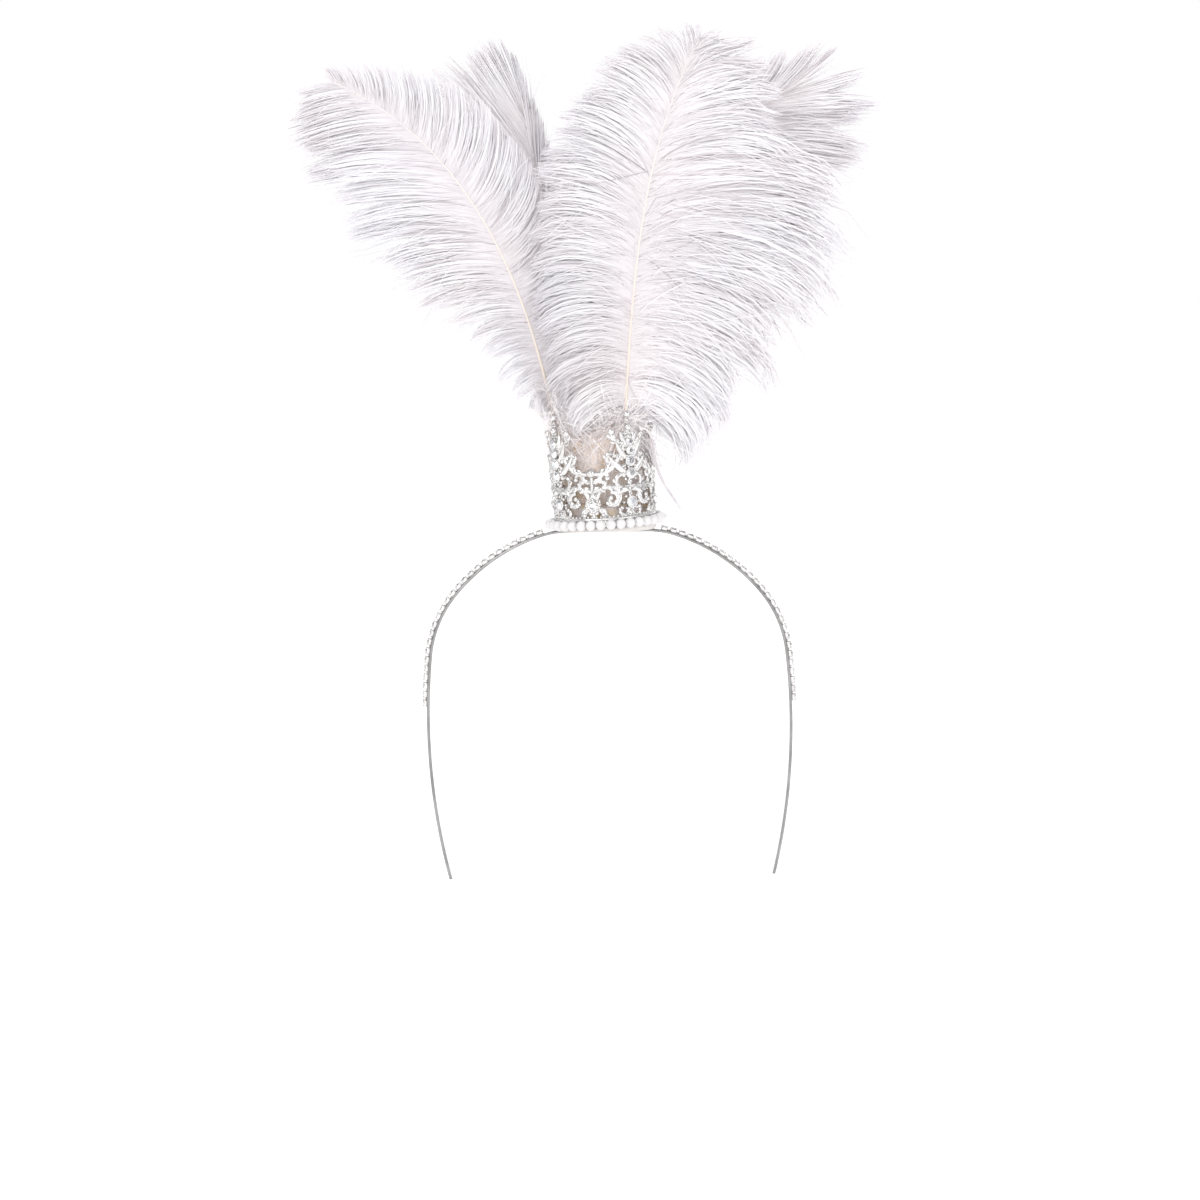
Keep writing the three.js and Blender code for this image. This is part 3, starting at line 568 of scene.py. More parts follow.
def carried(path, up, wide, thick, section):
    """Carries a closed section along each path: point = path + side * wide * section x + lift * thick *
    section y.

    path is (paths, steps, 3), up points out of the section's flat side, and wide and thick are half sizes
    at each step.
    """
    run = unit(np.gradient(path, axis=1))
    side = unit(np.cross(run, np.broadcast_to(up, path.shape)))
    lift = np.cross(side, run)
    wide = np.broadcast_to(wide, path.shape[:2])[..., None, None]
    thick = np.broadcast_to(thick, path.shape[:2])[..., None, None]
    return (
        path[:, :, None]
        + side[:, :, None] * wide * section[:, 0][:, None]
        + lift[:, :, None] * thick * section[:, 1][:, None]
    )


def round_section(sides):
    """A circle of that many sides, as (across, out) shares."""
    angle = np.arange(sides) / sides * 2 * np.pi
    return np.stack([np.cos(angle), np.sin(angle)], axis=1)


def tube_faces(rings):
    """Faces of closed tubes through rings of points, (paths, steps, sides, 3): walls, and a cap at each
    end."""
    paths, steps, sides = rings.shape[:3]
    index = np.arange(paths * steps * sides).reshape(paths, steps, sides)
    turned = np.roll(index, -1, axis=2)
    walls = np.stack([index[:, :-1], index[:, 1:], turned[:, 1:], turned[:, :-1]], axis=-1)
    caps = np.concatenate([index[:, 0], index[:, -1, ::-1]])
    return rings.reshape(-1, 3), [walls.reshape(-1, 4), caps]


def loop_faces(rings):
    """Faces of one closed ring of sections, (steps, sides, 3), with no ends."""
    steps, sides = rings.shape[:2]
    index = np.arange(steps * sides).reshape(steps, sides)
    ahead = np.roll(index, -1, axis=0)
    walls = np.stack([index, ahead, np.roll(ahead, -1, axis=1), np.roll(index, -1, axis=1)], axis=-1)
    return rings.reshape(-1, 3), [walls.reshape(-1, 4)]


def turned_out(points, faces):
    """The same faces, turned round if the volume that they enclose comes out negative."""
    volume = 0.0
    for group in faces:
        corners = points[group]
        for i in range(1, group.shape[1] - 1):
            volume += np.einsum("ij,ij->", corners[:, 0], np.cross(corners[:, i], corners[:, i + 1]))
    return faces if volume >= 0 else [group[:, ::-1] for group in faces]


def make_piece(name, parts, material, replaces=(), smooth=True, marks=None):
    """Joins parts, each (points, face groups), into one mesh piece in metres that rides on the part."""
    points, faces, start = [], [], 0
    for part_points, part_faces in parts:
        points.append(part_points)
        faces += [group + start for group in turned_out(part_points, part_faces)]
        start += len(part_points)
    points = np.concatenate(points)
    sizes = np.concatenate([np.full(len(group), group.shape[1]) for group in faces])
    corners = np.concatenate([group.ravel() for group in faces])
    mesh = bpy.data.meshes.new(name)
    mesh.vertices.add(len(points))
    mesh.vertices.foreach_set("co", (points * MM).astype(np.float32).ravel())
    mesh.loops.add(len(corners))
    mesh.loops.foreach_set("vertex_index", corners.astype(np.int32))
    mesh.polygons.add(len(sizes))
    mesh.polygons.foreach_set("loop_start", (np.cumsum(sizes) - sizes).astype(np.int32))
    mesh.polygons.foreach_set("use_smooth", np.full(len(sizes), smooth))
    mesh.update(calc_edges=True)
    for key, values in (marks or {}).items():
        attribute = mesh.attributes.new(key, "FLOAT", "POINT")
        attribute.data.foreach_set("value", values.astype(np.float32).ravel())
    mesh.materials.append(material)
    piece = bpy.data.objects.new(name, mesh)
    bpy.context.scene.collection.objects.link(piece)
    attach(piece, "root")
    if replaces:
        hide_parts(*replaces)
    return piece


# Plumes


def shaft_of(plume):
    """The middle line of a plume's shaft and the frame of its vane at each step.

    The lean goes from its root to its tip value with a power of the run, the pitch straight, and the line
    is the sum of equal steps along them.
    """
    run = np.linspace(0, 1, SHAFT_STEPS + 1)
    lean = np.radians(plume["lean"][0] + (plume["lean"][1] - plume["lean"][0]) * run ** plume["lean_power"])
    pitch = np.radians(plume["pitch"][0] + (plume["pitch"][1] - plume["pitch"][0]) * run)
    along = np.stack([np.sin(lean) * np.cos(pitch), np.sin(pitch), np.cos(lean) * np.cos(pitch)], axis=1)
    foot = np.array([*plume["root"], 0]) * SOCKET_RADIUS + UP * (SOCKET_TOP - QUILL_SINK)
    step = plume["length"] * PLUME_LENGTH / SHAFT_STEPS
    point = foot + (np.cumsum(along, axis=0) - along) * step
    level = unit(np.cross(BACK, along))
    through = np.cross(along, level)
    facing = np.radians(plume["facing"])
    side = level * np.cos(facing) + through * np.sin(facing)
    start = np.argmax(point[:, 2] > CROWN_MOUTH) / SHAFT_STEPS
    return dict(run=run, start=start, point=point, along=along, side=side, face=np.cross(along, side))


def on_shaft(shaft, at):
    """The shaft's point and vane frame at shares of its vane, between its steps."""
    run = shaft["start"] + (1 - shaft["start"]) * at
    frames = {}
    for key in ("point", "along", "side", "face"):
        frames[key] = np.stack([np.interp(run, shaft["run"], shaft[key][:, i]) for i in range(3)], axis=-1)
    return frames


def from_vane(plume, column, at):
    """A column of the plume's vane table at shares of its shaft, straight between rows."""
    rows = np.array(plume["vane"])
    return np.interp(at, rows[:, 0], rows[:, VANE_COLUMNS.index(column)])


def vane_tip(frames, sign, angle, reach, fall):
    """The end of a chord from the shaft: reach at an angle from the shaft's tip end, fallen away from the
    face."""
    flat = frames["along"] * np.cos(angle)[:, None] + frames["side"] * (sign * np.sin(angle))[:, None]
    return frames["point"] + flat * reach[:, None] + frames["face"] * fall[:, None]


def make_locks(plume, side_index, rng):
    """The locks of one side of a vane: uneven places along the shaft, each with its own reach, angle and
    depth."""
    count = plume["locks"][side_index]
    ragged = plume["ragged"][side_index]
    wild = plume["wild"][side_index]
    at = (np.arange(count) + 0.5 + rng.uniform(-0.38, 0.38, count)) / count
    return dict(
        at=at,
        reach=1 - ragged + rng.uniform(-1, 1, count) * ragged,
        angle=rng.normal(0, 1.6 * wild, count),
        depth=rng.normal(0, LOCK_DEPTH, count),
    )


def barb_paths(plume, shaft, locks, side_index, kind, count, rng):
    """Paths of barbs on one side of the vane, (barbs, steps, 3), with the vane's face there and each
    barb's length.

    Each barb is a cubic curve. It leaves the shaft at the vane's angle less its curl and ends at that
    angle plus its curl. Far out it is drawn to the tip of its lock with a power of its run. A small wave
    grows along it, and its tip droops.
    """
    loose, steps = kind["loose"], kind["steps"]
    sign = (-1.0, 1.0)[side_index]
    reach_column, angle_column = (("left", "left_angle"), ("right", "right_angle"))[side_index]
    wild = plume["wild"][side_index]
    curl = plume["curl"][side_index] * rng.normal(1, (0.1 + 0.25 * loose) * wild, count)
    most = plume["reach"] * plume["length"] * PLUME_LENGTH
    spaced = np.clip((np.arange(count) + rng.uniform(0, 1, count)) / count, 0, 1)
    at = plume["vane_end"] * kind["until"] * (1 - (1 - spaced) ** TIP_CROWDING)
    frames = on_shaft(shaft, at)
    nearest = np.argmin(np.abs(at[:, None] - locks["at"][None]), axis=1)
    lock_at = locks["at"][nearest]
    off = np.clip((at - lock_at) * len(locks["at"]) * 2, -1, 1)
    stray = rng.uniform(0, 1, count)

    spread = rng.normal(0, (1.2 + 5 * loose) * wild + kind["astray"], count)
    angle = from_vane(plume, angle_column, at) + spread
    angle = np.radians(angle + 0.5 * locks["angle"][nearest] + kind["drop"])
    reach = most * from_vane(plume, reach_column, at) * (0.5 + 0.5 * locks["reach"][nearest])
    reach = reach * (1 - (0.04 + 0.5 * loose) * stray**2)
    depth = 0.5 * locks["depth"][nearest] + kind["depth"] + rng.normal(0, 1.2 + 2.2 * loose, count)
    fall = CUP * reach + depth
    tip = vane_tip(frames, sign, angle, reach, fall)

    lock_frames = on_shaft(shaft, lock_at)
    lock_angle = np.radians(from_vane(plume, angle_column, lock_at) + locks["angle"][nearest])
    lock_reach = most * from_vane(plume, reach_column, lock_at) * locks["reach"][nearest]
    back_off = lock_reach * (1 - 0.12 * np.abs(off) ** 1.5 - (0.03 + 0.3 * loose) * stray)
    lock_tip = vane_tip(lock_frames, sign, lock_angle, back_off, fall)
    low, high = plume["gather"][side_index]
    gather = (low + (high - low) * at) * (1 + rng.normal(0, 0.15, count)) * (1 - 0.7 * min(loose, 1))
    drawn = (lock_tip - tip) * np.clip(gather, 0, 1)[:, None]
    length = np.linalg.norm(tip - frames["point"], axis=1)
    tip = tip - UP * (length * rng.uniform(0.0, 0.03 + 0.08 * loose, count))[:, None]

    def heading(turned):
        return frames["along"] * np.cos(turned)[:, None] + frames["side"] * (sign * np.sin(turned))[:, None]

    first = frames["point"] + heading(angle * (1 - curl)) * (length / 3)[:, None]
    last = tip - heading(angle * (1 + curl)) * (length / 3)[:, None]
    u = np.linspace(0, 1, steps)[None, :, None]
    path = (
        (1 - u) ** 3 * frames["point"][:, None]
        + 3 * (1 - u) ** 2 * u * first[:, None]
        + 3 * (1 - u) * u**2 * last[:, None]
        + u**3 * tip[:, None]
        + u**2.6 * drawn[:, None]
    )
    waves = rng.uniform(0.5, 1.5, (count, 1, 1))
    phase = rng.uniform(0, 2 * np.pi, (count, 2, 1))
    swell = kind["wave"] * rng.uniform(0.3, 1.4, (count, 1, 1)) * u**1.5 * length[:, None, None] / FULL_BARB
    swing = np.sin(2 * np.pi * waves * u + phase[:, :1]) * frames["along"][:, None]
    swing = swing + np.sin(2 * np.pi * waves * u + phase[:, 1:]) * frames["face"][:, None]
    return path + swell * swing, frames["face"], length


def plume(data, barb_finish, shaft_finish):
    """One plume: its barbs on both sides, each side a piece, and its shaft.

    A barb's width swells like half a sine wave and ends in a fine tip, its thickness goes down straight,
    and so does the shaft's radius, but with a power of the run. The shaft is a slightly flattened round.
    """
    rng = np.random.default_rng(data["seed"])
    shaft = shaft_of(data)
    for side_index, side_name in enumerate(("left", "right")):
        parts, run_marks, tone_marks = [], [], []
        locks = make_locks(data, side_index, rng)
        for kind in BARB_KINDS:
            count = round(kind["count"] * data["full"])
            path, up, length = barb_paths(data, shaft, locks, side_index, kind, count, rng)
            u = np.linspace(0, 1, kind["steps"])[None]
            size = rng.uniform(0.75, 1.25, (count, 1)) * np.clip(length[:, None] / FULL_BARB, 0.5, 1.1)
            wide = kind["wide"] * size * (0.75 + 0.45 * np.sin(np.pi * u**0.8)) * (1 - 0.8 * u**4)
            thick = kind["thick"] * size * (1 - 0.7 * u)
            rings = carried(path, up[:, None], wide, thick, round_section(BARB_SIDES))
            parts.append(tube_faces(rings))
            run_marks.append(np.broadcast_to(u[..., None], rings.shape[:3]).ravel())
            # Some barbs are greyed as painted shade, and the under barbs are greyed through their kind's
            # tone.
            dark = (rng.uniform(0, 1, count) < PAINTED_SHADE_SHARE) & (kind["astray"] == 0)
            tone = np.clip(kind["tone"] + PAINTED_SHADE_TONE * dark + rng.normal(0, 0.1, count), 0, 1)
            tone_marks.append(np.broadcast_to(tone[:, None, None], rings.shape[:3]).ravel())
        marks = {"run": np.concatenate(run_marks), "tone": np.concatenate(tone_marks)}
        name = f"{data['name']}_{side_name}_vane"
        make_piece(name, parts, barb_finish, [data["name"]], smooth=False, marks=marks)

    shown = shaft["run"] <= shaft["start"] + (1 - shaft["start"]) * data["vane_end"]
    t = shaft["run"][shown] / shaft["run"][shown][-1]
    radius = QUILL_RADIUS + (SHAFT_TIP_RADIUS - QUILL_RADIUS) * t**0.7
    path, up = shaft["point"][None, shown], shaft["face"][None, shown]
    rings = carried(path, up, 0.8 * radius, 0.7 * radius, round_section(SHAFT_SIDES))
    marks = {"run": np.repeat(t, SHAFT_SIDES)}
    make_piece(data["name"] + "_shaft", [tube_faces(rings)], shaft_finish, marks=marks)


def fibres(start, heading, length, bend, wave, steps, rng):
    """Soft fibres: start + length * (u * heading + u squared * bend), with a wave that grows along them."""
    u = np.linspace(0, 1, steps)[None, :, None]
    count = len(start)
    path = start[:, None] + length[:, None, None] * (u * heading[:, None] + u**2 * bend[:, None])
    phase = rng.uniform(0, 2 * np.pi, (count, 1, 3))
    return path + wave * u * np.sin(2 * np.pi * rng.uniform(0.5, 1.3, (count, 1, 1)) * u + phase)


def fibre_tubes(path, width, rng):
    """Three-sided fibres that taper to a fine tip."""
    count, steps = path.shape[:2]
    u = np.linspace(0, 1, steps)[None]
    size = width * rng.uniform(0.6, 1.3, (count, 1)) * (1 - 0.75 * u**2)
    up = unit(rng.normal(0, 1, (count, 1, 3)))
    return tube_faces(carried(path, up, size, size, round_section(3)))


def crown_down(finish):
    """The down that fills the crown round the quills: a soft core, and fibres that stand out of it to the
    wall.

    The core is a column whose girth swells and shrinks with sine waves of its angle and height. The
    fibres start at even heights round it, and what would go through the wall is drawn in to it.
    """
    rng = np.random.default_rng(21)
    rows, around_count = 16, 28
    share = np.linspace(0, 1, rows)[:, None]
    angle = (np.arange(around_count) / around_count * 2 * np.pi)[None]
    bulge = 1 + 0.06 * np.sin(3 * angle + 7 * share) + 0.05 * np.sin(5 * angle - 9 * share)
    girth = DOWN_CORE_RADIUS * bulge * np.sqrt(np.clip(1 - share**5, 0.002, 1))
    height = SOCKET_TOP + share * (CROWN_MOUTH - SOCKET_TOP - DOWN_CORE_BELOW_MOUTH)
    core = np.stack([girth * np.sin(angle), -girth * np.cos(angle), height + 0 * angle], axis=-1)
    # The core's tone paints the crown's shade on it, most of all at its foot.
    core_tone = np.repeat(1.0 - 0.15 * share[:, 0], around_count)

    turn = rng.uniform(0, 2 * np.pi, DOWN_FIBRES)
    level = rng.uniform(0, 1, DOWN_FIBRES)
    out = np.stack([np.sin(turn), -np.cos(turn), 0 * turn], axis=1)
    root_height = SOCKET_TOP - 2.0 + level * (CROWN_MOUTH - SOCKET_TOP - 2.0)
    start = out * DOWN_ROOT_RADIUS + UP * root_height[:, None]
    rising = UP * rng.uniform(-0.3, 1.0, (DOWN_FIBRES, 1))
    heading = unit(out + rising + rng.normal(0, 0.35, (DOWN_FIBRES, 3)))
    bend = rng.normal(0, 0.4, (DOWN_FIBRES, 3)) + UP * 0.2
    length = rng.uniform(*DOWN_LENGTHS, DOWN_FIBRES)
    path = fibres(start, heading, length, bend, DOWN_WAVE, DOWN_STEPS, rng)
    far = np.linalg.norm(path[..., :2], axis=-1, keepdims=True)
    path[..., :2] *= np.minimum(1, DOWN_LIMIT / np.maximum(far, 1e-6))
    # The fibres' tone paints the crown's shade on them, the more the lower they start.
    fibre_tone = np.clip(0.5 - 0.5 * level + rng.normal(0, 0.12, DOWN_FIBRES), 0.0, 1)
    parts = [tube_faces(core[None]), fibre_tubes(path, DOWN_WIDTH, rng)]
    parts = [(leaned(part_points), part_faces) for part_points, part_faces in parts]
    tone = np.concatenate([core_tone, np.repeat(fibre_tone, DOWN_STEPS * 3)])
    make_piece("crown_down", parts, finish, smooth=False, marks={"tone": tone})


def quill_down(finish):
    """Long soft down from each quill just above the crown, thrown outwards in curls that hide the quills."""
    rng = np.random.default_rng(22)
    parts, tones = [], []
    for data in PLUMES:
        shaft = shaft_of(data)
        level = rng.uniform(0, 1, TUFT_FIBRES)
        height = CROWN_MOUTH - TUFT_BELOW_MOUTH + data["frizz"] * level**1.2
        line = shaft["point"]
        start = np.stack([np.interp(height, line[:, 2], line[:, i]) for i in range(3)], axis=1)
        turn = rng.uniform(0, 2 * np.pi, TUFT_FIBRES)
        out = np.stack([np.sin(turn), -np.cos(turn) * 0.8, 0 * turn], axis=1)
        heading = unit(out + UP * rng.uniform(-0.9, 1.2, (TUFT_FIBRES, 1)))
        bend = rng.normal(0, 0.35, (TUFT_FIBRES, 3)) - UP * rng.uniform(0.0, 0.6, (TUFT_FIBRES, 1))
        length = rng.uniform(*TUFT_LENGTHS, TUFT_FIBRES)
        path = fibres(start, heading, length, bend, TUFT_WAVE, TUFT_STEPS, rng)
        parts.append(fibre_tubes(path, TUFT_WIDTH, rng))
        # The tone paints a little shade on the lower fibres of each tuft.
        tone = np.clip(0.16 - 0.2 * level + rng.normal(0, 0.08, TUFT_FIBRES), 0, 1)
        tones.append(np.repeat(tone, TUFT_STEPS * 3))
    marks = {"tone": np.concatenate(tones)}
    make_piece("quill_down", parts, finish, smooth=False, marks=marks)


def loose_wisps(finish):
    """Two loose barbs that hang beside the crown, each a thin bundle along a cubic curve."""
    rng = np.random.default_rng(23)
    paths = []
    run = np.linspace(0, 1, WISP_STEPS)
    u = run[None, :, None]
    for corners in WISPS:
        spread = [rng.normal(0, far, (WISP_FIBRES, 3)) for far in WISP_SPREADS]
        a, b, c, d = [(np.array(corner) + apart)[:, None] for corner, apart in zip(corners, spread)]
        paths.append((1 - u) ** 3 * a + 3 * (1 - u) ** 2 * u * b + 3 * (1 - u) * u**2 * c + u**3 * d)
    path = np.concatenate(paths)
    points, faces = fibre_tubes(path, WISP_WIDTH, rng)
    marks = {"run": np.tile(np.repeat(run, 3), len(path)), "tone": np.full(len(points), WISP_TONE)}
    make_piece("loose_wisps", [(points, faces)], finish, smooth=False, marks=marks)


# Crown


def leaned(points):
    """Turns points with the crown, which leans to the viewer's left by the lean."""
    x, y, z = points[..., 0], points[..., 1], points[..., 2]
    return np.stack([x * np.cos(LEAN) - z * np.sin(LEAN), y, x * np.sin(LEAN) + z * np.cos(LEAN)], axis=-1)


def on_wall(across, height, out=0.0, offset=0.0):
    """Places of a flat drawing on the crown's wall, once for each peak, which the first axis counts.

    The drawing is rolled to a cone: its angle is across over the wall's radius, and its radius grows with
    height.
    """
    across, height = np.broadcast_arrays(np.asarray(across, float), np.asarray(height, float))
    peak = np.arange(PEAKS).reshape(-1, *[1] * across.ndim)
    turn = CROWN_TURN + offset + 2 * HALF_SECTOR * peak + across / WALL_RADIUS
    radius = WALL_RADIUS + height * CROWN_SPLAY + out
    upward = np.broadcast_to(height + CROWN_SEAT, turn.shape)
    return leaned(np.stack([radius * np.sin(turn), -radius * np.cos(turn), upward], axis=-1))


def wall_frames(across, height, out=0.0, offset=0.0):
    """The centre of each place on the wall, and its directions to the right, up and outwards, as (places,
    3)."""
    centre = on_wall(across, height, out, offset).reshape(-1, 3)
    right = unit(on_wall(np.asarray(across) + 0.1, height, out, offset).reshape(-1, 3) - centre)
    outward = unit(on_wall(across, height, out + 0.1, offset).reshape(-1, 3) - centre)
    return centre, right, np.cross(outward, right), outward


def wall_bars(lines, wide, thick, offset=0.0, out=-0.75):
    """Bars with a ridged front carried along lines of the flat drawing, given as (lines, steps, across
    and height)."""
    steps = lines.shape[1]
    path = on_wall(lines[..., 0], lines[..., 1], out, offset)
    outward = on_wall(lines[..., 0], lines[..., 1], out + 1.0, offset) - path
    wide = np.broadcast_to(np.broadcast_to(wide, lines.shape[:2]), path.shape[:3]).reshape(-1, steps)
    path, outward = path.reshape(-1, steps, 3), outward.reshape(-1, steps, 3)
    return tube_faces(carried(path, outward, wide, thick, RIDGED))


def balls(centres, radius, steps, sides):
    """Balls as tubes through their rings of latitude, from pole to pole upwards."""
    angle = np.linspace(0.0, np.pi, steps)
    radius = np.broadcast_to(radius, len(centres))[:, None]
    path = centres[:, None] - UP * (np.cos(angle) * radius)[..., None]
    girth = np.maximum(np.sin(angle), 0.02) * radius
    return tube_faces(carried(path, BACK, girth, girth, round_section(sides)))


def cups(frames, radius, rise):
    """Round cups with a rolled rim: rings of twelve points whose radius swells, then closes over the
    stone's edge."""
    centre, right, above, outward = frames
    profile = [(0.3, -0.6), (0.36, 0.3), (0.4, 0.75), (0.28, 1.0), (0.0, 0.9)]
    wall = 0.9 * np.array([share for share, _ in profile])
    level = rise * np.array([height for _, height in profile])
    girth = np.broadcast_to(radius, len(centre))[:, None] + wall[None]
    angle = np.arange(12) / 12 * 2 * np.pi
    round_about = right[:, None] * np.cos(angle)[:, None] + above[:, None] * np.sin(angle)[:, None]
    rings = centre[:, None, None] + girth[..., None, None] * round_about[:, None]
    return tube_faces(rings + (outward[:, None] * level[:, None])[:, :, None])


def cut_stones(frames, radius, rise):
    """Cut stones: a girdle of eight corners, sixteen facets up to a table turned by half a step, and a
    flat underside."""
    centre, right, above, outward = frames
    radius = np.broadcast_to(radius, len(centre))
    angle = np.arange(8) / 8 * 2 * np.pi

    def ring(share, turn, height):
        across, upward = np.cos(angle + turn)[:, None], np.sin(angle + turn)[:, None]
        flat = right[:, None] * across + above[:, None] * upward
        return centre[:, None] + flat * (share * radius)[:, None, None] + (outward * height)[:, None]

    points = np.stack([ring(0.9, 0, 0), ring(1, 0, 0.35 * rise), ring(0.58, np.pi / 8, rise)], axis=1)
    index = np.arange(points.size // 3).reshape(-1, 3, 8)
    ahead = np.roll(index, -1, axis=2)
    wall = np.stack([index[:, 0], ahead[:, 0], ahead[:, 1], index[:, 1]], axis=-1).reshape(-1, 4)
    lower = np.stack([index[:, 1], ahead[:, 1], index[:, 2]], axis=-1).reshape(-1, 3)
    upper = np.stack([index[:, 2], ahead[:, 1], ahead[:, 2]], axis=-1).reshape(-1, 3)
    ends = np.concatenate([index[:, 2], index[:, 0, ::-1]])
    return points.reshape(-1, 3), [wall, lower, upper, ends]


def both_sides(line):
    """A line of the flat drawing and its mirror image about the stem."""
    return np.stack([line, line * [-1, 1]])


def scroll_line(row):
    """A scroll as a spiral whose radius goes straight from its first to its last value as it turns."""
    share = np.linspace(0, 1, SCROLL_STEPS)
    _, across, height, start, end, turned_from, turns = row
    angle = np.radians(turned_from + turns * share)
    radius = start + (end - start) * share
    x = (across + radius / ROUND_AT * np.cos(angle)) * HALF_ARC
    return np.stack([x, (height + radius * np.sin(angle)) * CROWN_HEIGHT], axis=1)


def swept(corners):
    """A line of the flat drawing that leaves its first place and reaches its last, drawn towards the
    middle one."""
    u = np.linspace(0, 1, SCROLL_STEPS)[:, None]
    a, b, c = [np.array([across * HALF_ARC, height * CROWN_HEIGHT]) for across, height in corners]
    return (1 - u) ** 2 * a + 2 * (1 - u) * u * b + u**2 * c


def leaves_along(line, shares, length, side):
    """Small leaves that curl off a line: each goes out of it at a slant and bends back along it."""
    at = (np.array(shares) * (len(line) - 1)).astype(int)
    run = unit(line[at + 1] - line[at - 1])
    out = np.stack([run[:, 1], -run[:, 0]], axis=1) * side
    u = np.linspace(0, 1, 7)[None, :, None]
    return line[at][:, None] + length * (u * out[:, None] * (1 - 0.35 * u) + u**2 * run[:, None] * 0.8)


def crown_casting(silver):
    """The pierced casting: scrolls, sweeps, fronds, leaves, stems with knobs and collars, posts and the
    foot rim.

    Bars taper along their run with its square, and leaves and fronds are as wide as half a sine wave.
    """
    u = np.linspace(0, 1, SCROLL_STEPS)
    taper = 1.08 * (1 - 0.35 * u**2)
    scrolls = [scroll_line(row) for row in SCROLLS]
    lines = np.concatenate([both_sides(line) for line in scrolls])
    sweep = both_sides(swept(SWEEP))
    leaf_lines = [
        leaves_along(line * [side, 1], shares, length, side * turn)
        for (line, shares, length, turn) in (
            (scrolls[0], (0.12, 0.24, 0.36, 0.5), 2.6, 1),
            (scrolls[1], (0.2, 0.5), 2.0, 1),
            (scrolls[3], (0.2, 0.45), 2.0, 1),
            (scrolls[0], (0.06, 0.18, 0.3, 0.44, 0.6), 2.3, -1),
            (scrolls[5], (0.15, 0.4, 0.6), 1.8, 1),
            (scrolls[4], (0.25, 0.5, 0.75), 2.2, 1),
            (scrolls[4], (0.35, 0.65), 1.8, -1),
            (swept(SWEEP), (0.2, 0.35, 0.5, 0.65, 0.8), 2.6, 1),
        )
        for side in (1, -1)
    ]
    leaf_lines = np.concatenate(leaf_lines)
    leaf_wide = 0.85 * np.sin(np.pi * (0.12 + 0.86 * np.linspace(0, 1, 7)))
    fronds = np.concatenate([both_sides(swept(corners)) for corners in FRONDS])
    frond_wide = 1.35 * np.sin(np.pi * (0.1 + 0.86 * u)) ** 0.8
    bar = np.linspace(-1, 1, 9)
    collar_height, collar_half = np.array(STEM_COLLARS).T[..., None]
    collars = np.stack([collar_half * bar, 0 * bar + collar_height * CROWN_HEIGHT], axis=-1)
    stem_height = np.linspace(FOOT_RING_HEIGHT / 2, CROWN_HEIGHT - 2 * FINIAL_RADIUS, 60)
    stem = np.stack([0 * stem_height, stem_height], axis=1)[None]
    knobs = np.exp(-(((stem_height[:, None] / CROWN_HEIGHT - STEM_KNOBS) / 0.016) ** 2)).sum(axis=1)
    post_height = np.linspace(FOOT_RING_HEIGHT / 2, 0.45 * CROWN_HEIGHT, 30)
    post = np.stack([0 * post_height, post_height], axis=1)[None]
    post_wide = 0.75 + 0.35 * np.sin(np.pi * post_height / post_height[-1]) ** 6
    parts = [
        wall_bars(lines, taper, 0.8),
        wall_bars(sweep, 1.0, 0.9),
        wall_bars(fronds, frond_wide, 0.7, out=-0.3),
        wall_bars(leaf_lines, leaf_wide, 0.6, out=-0.45),
        wall_bars(stem, 0.72 + 0.62 * knobs, 0.85),
        wall_bars(collars, 0.75 * np.sqrt(1 - 0.8 * bar**2), 1.3),
        wall_bars(post, post_wide, 0.8, offset=HALF_SECTOR),
    ]

    angle = np.linspace(0, 2 * np.pi, 97)[:-1]
    profile = [(-2.2, 0.0), (0.3, 0.0), (0.35, 1.2), (-0.1, 1.8), (0.35, 2.6), (0.2, 3.6), (-2.0, 3.6)]
    profile = np.array(profile)
    radius = WALL_RADIUS + profile[:, 0]
    rim = np.stack(
        [
            np.sin(angle)[:, None] * radius,
            -np.cos(angle)[:, None] * radius,
            np.broadcast_to(profile[:, 1] + CROWN_SEAT, (96, len(profile))),
        ],
        axis=-1,
    )
    parts.append(loop_faces(leaned(rim)))
    make_piece("crown_casting", parts, silver, ["crown"])


def stone_place(row):
    """A crown stone's place and directions at each peak, and its radius inside its cup."""
    across, height, radius, offset = row
    frames = wall_frames(np.array([across]), np.array([height * CROWN_HEIGHT]), 0.0, offset)
    return frames, radius * CROWN_HEIGHT * 0.86


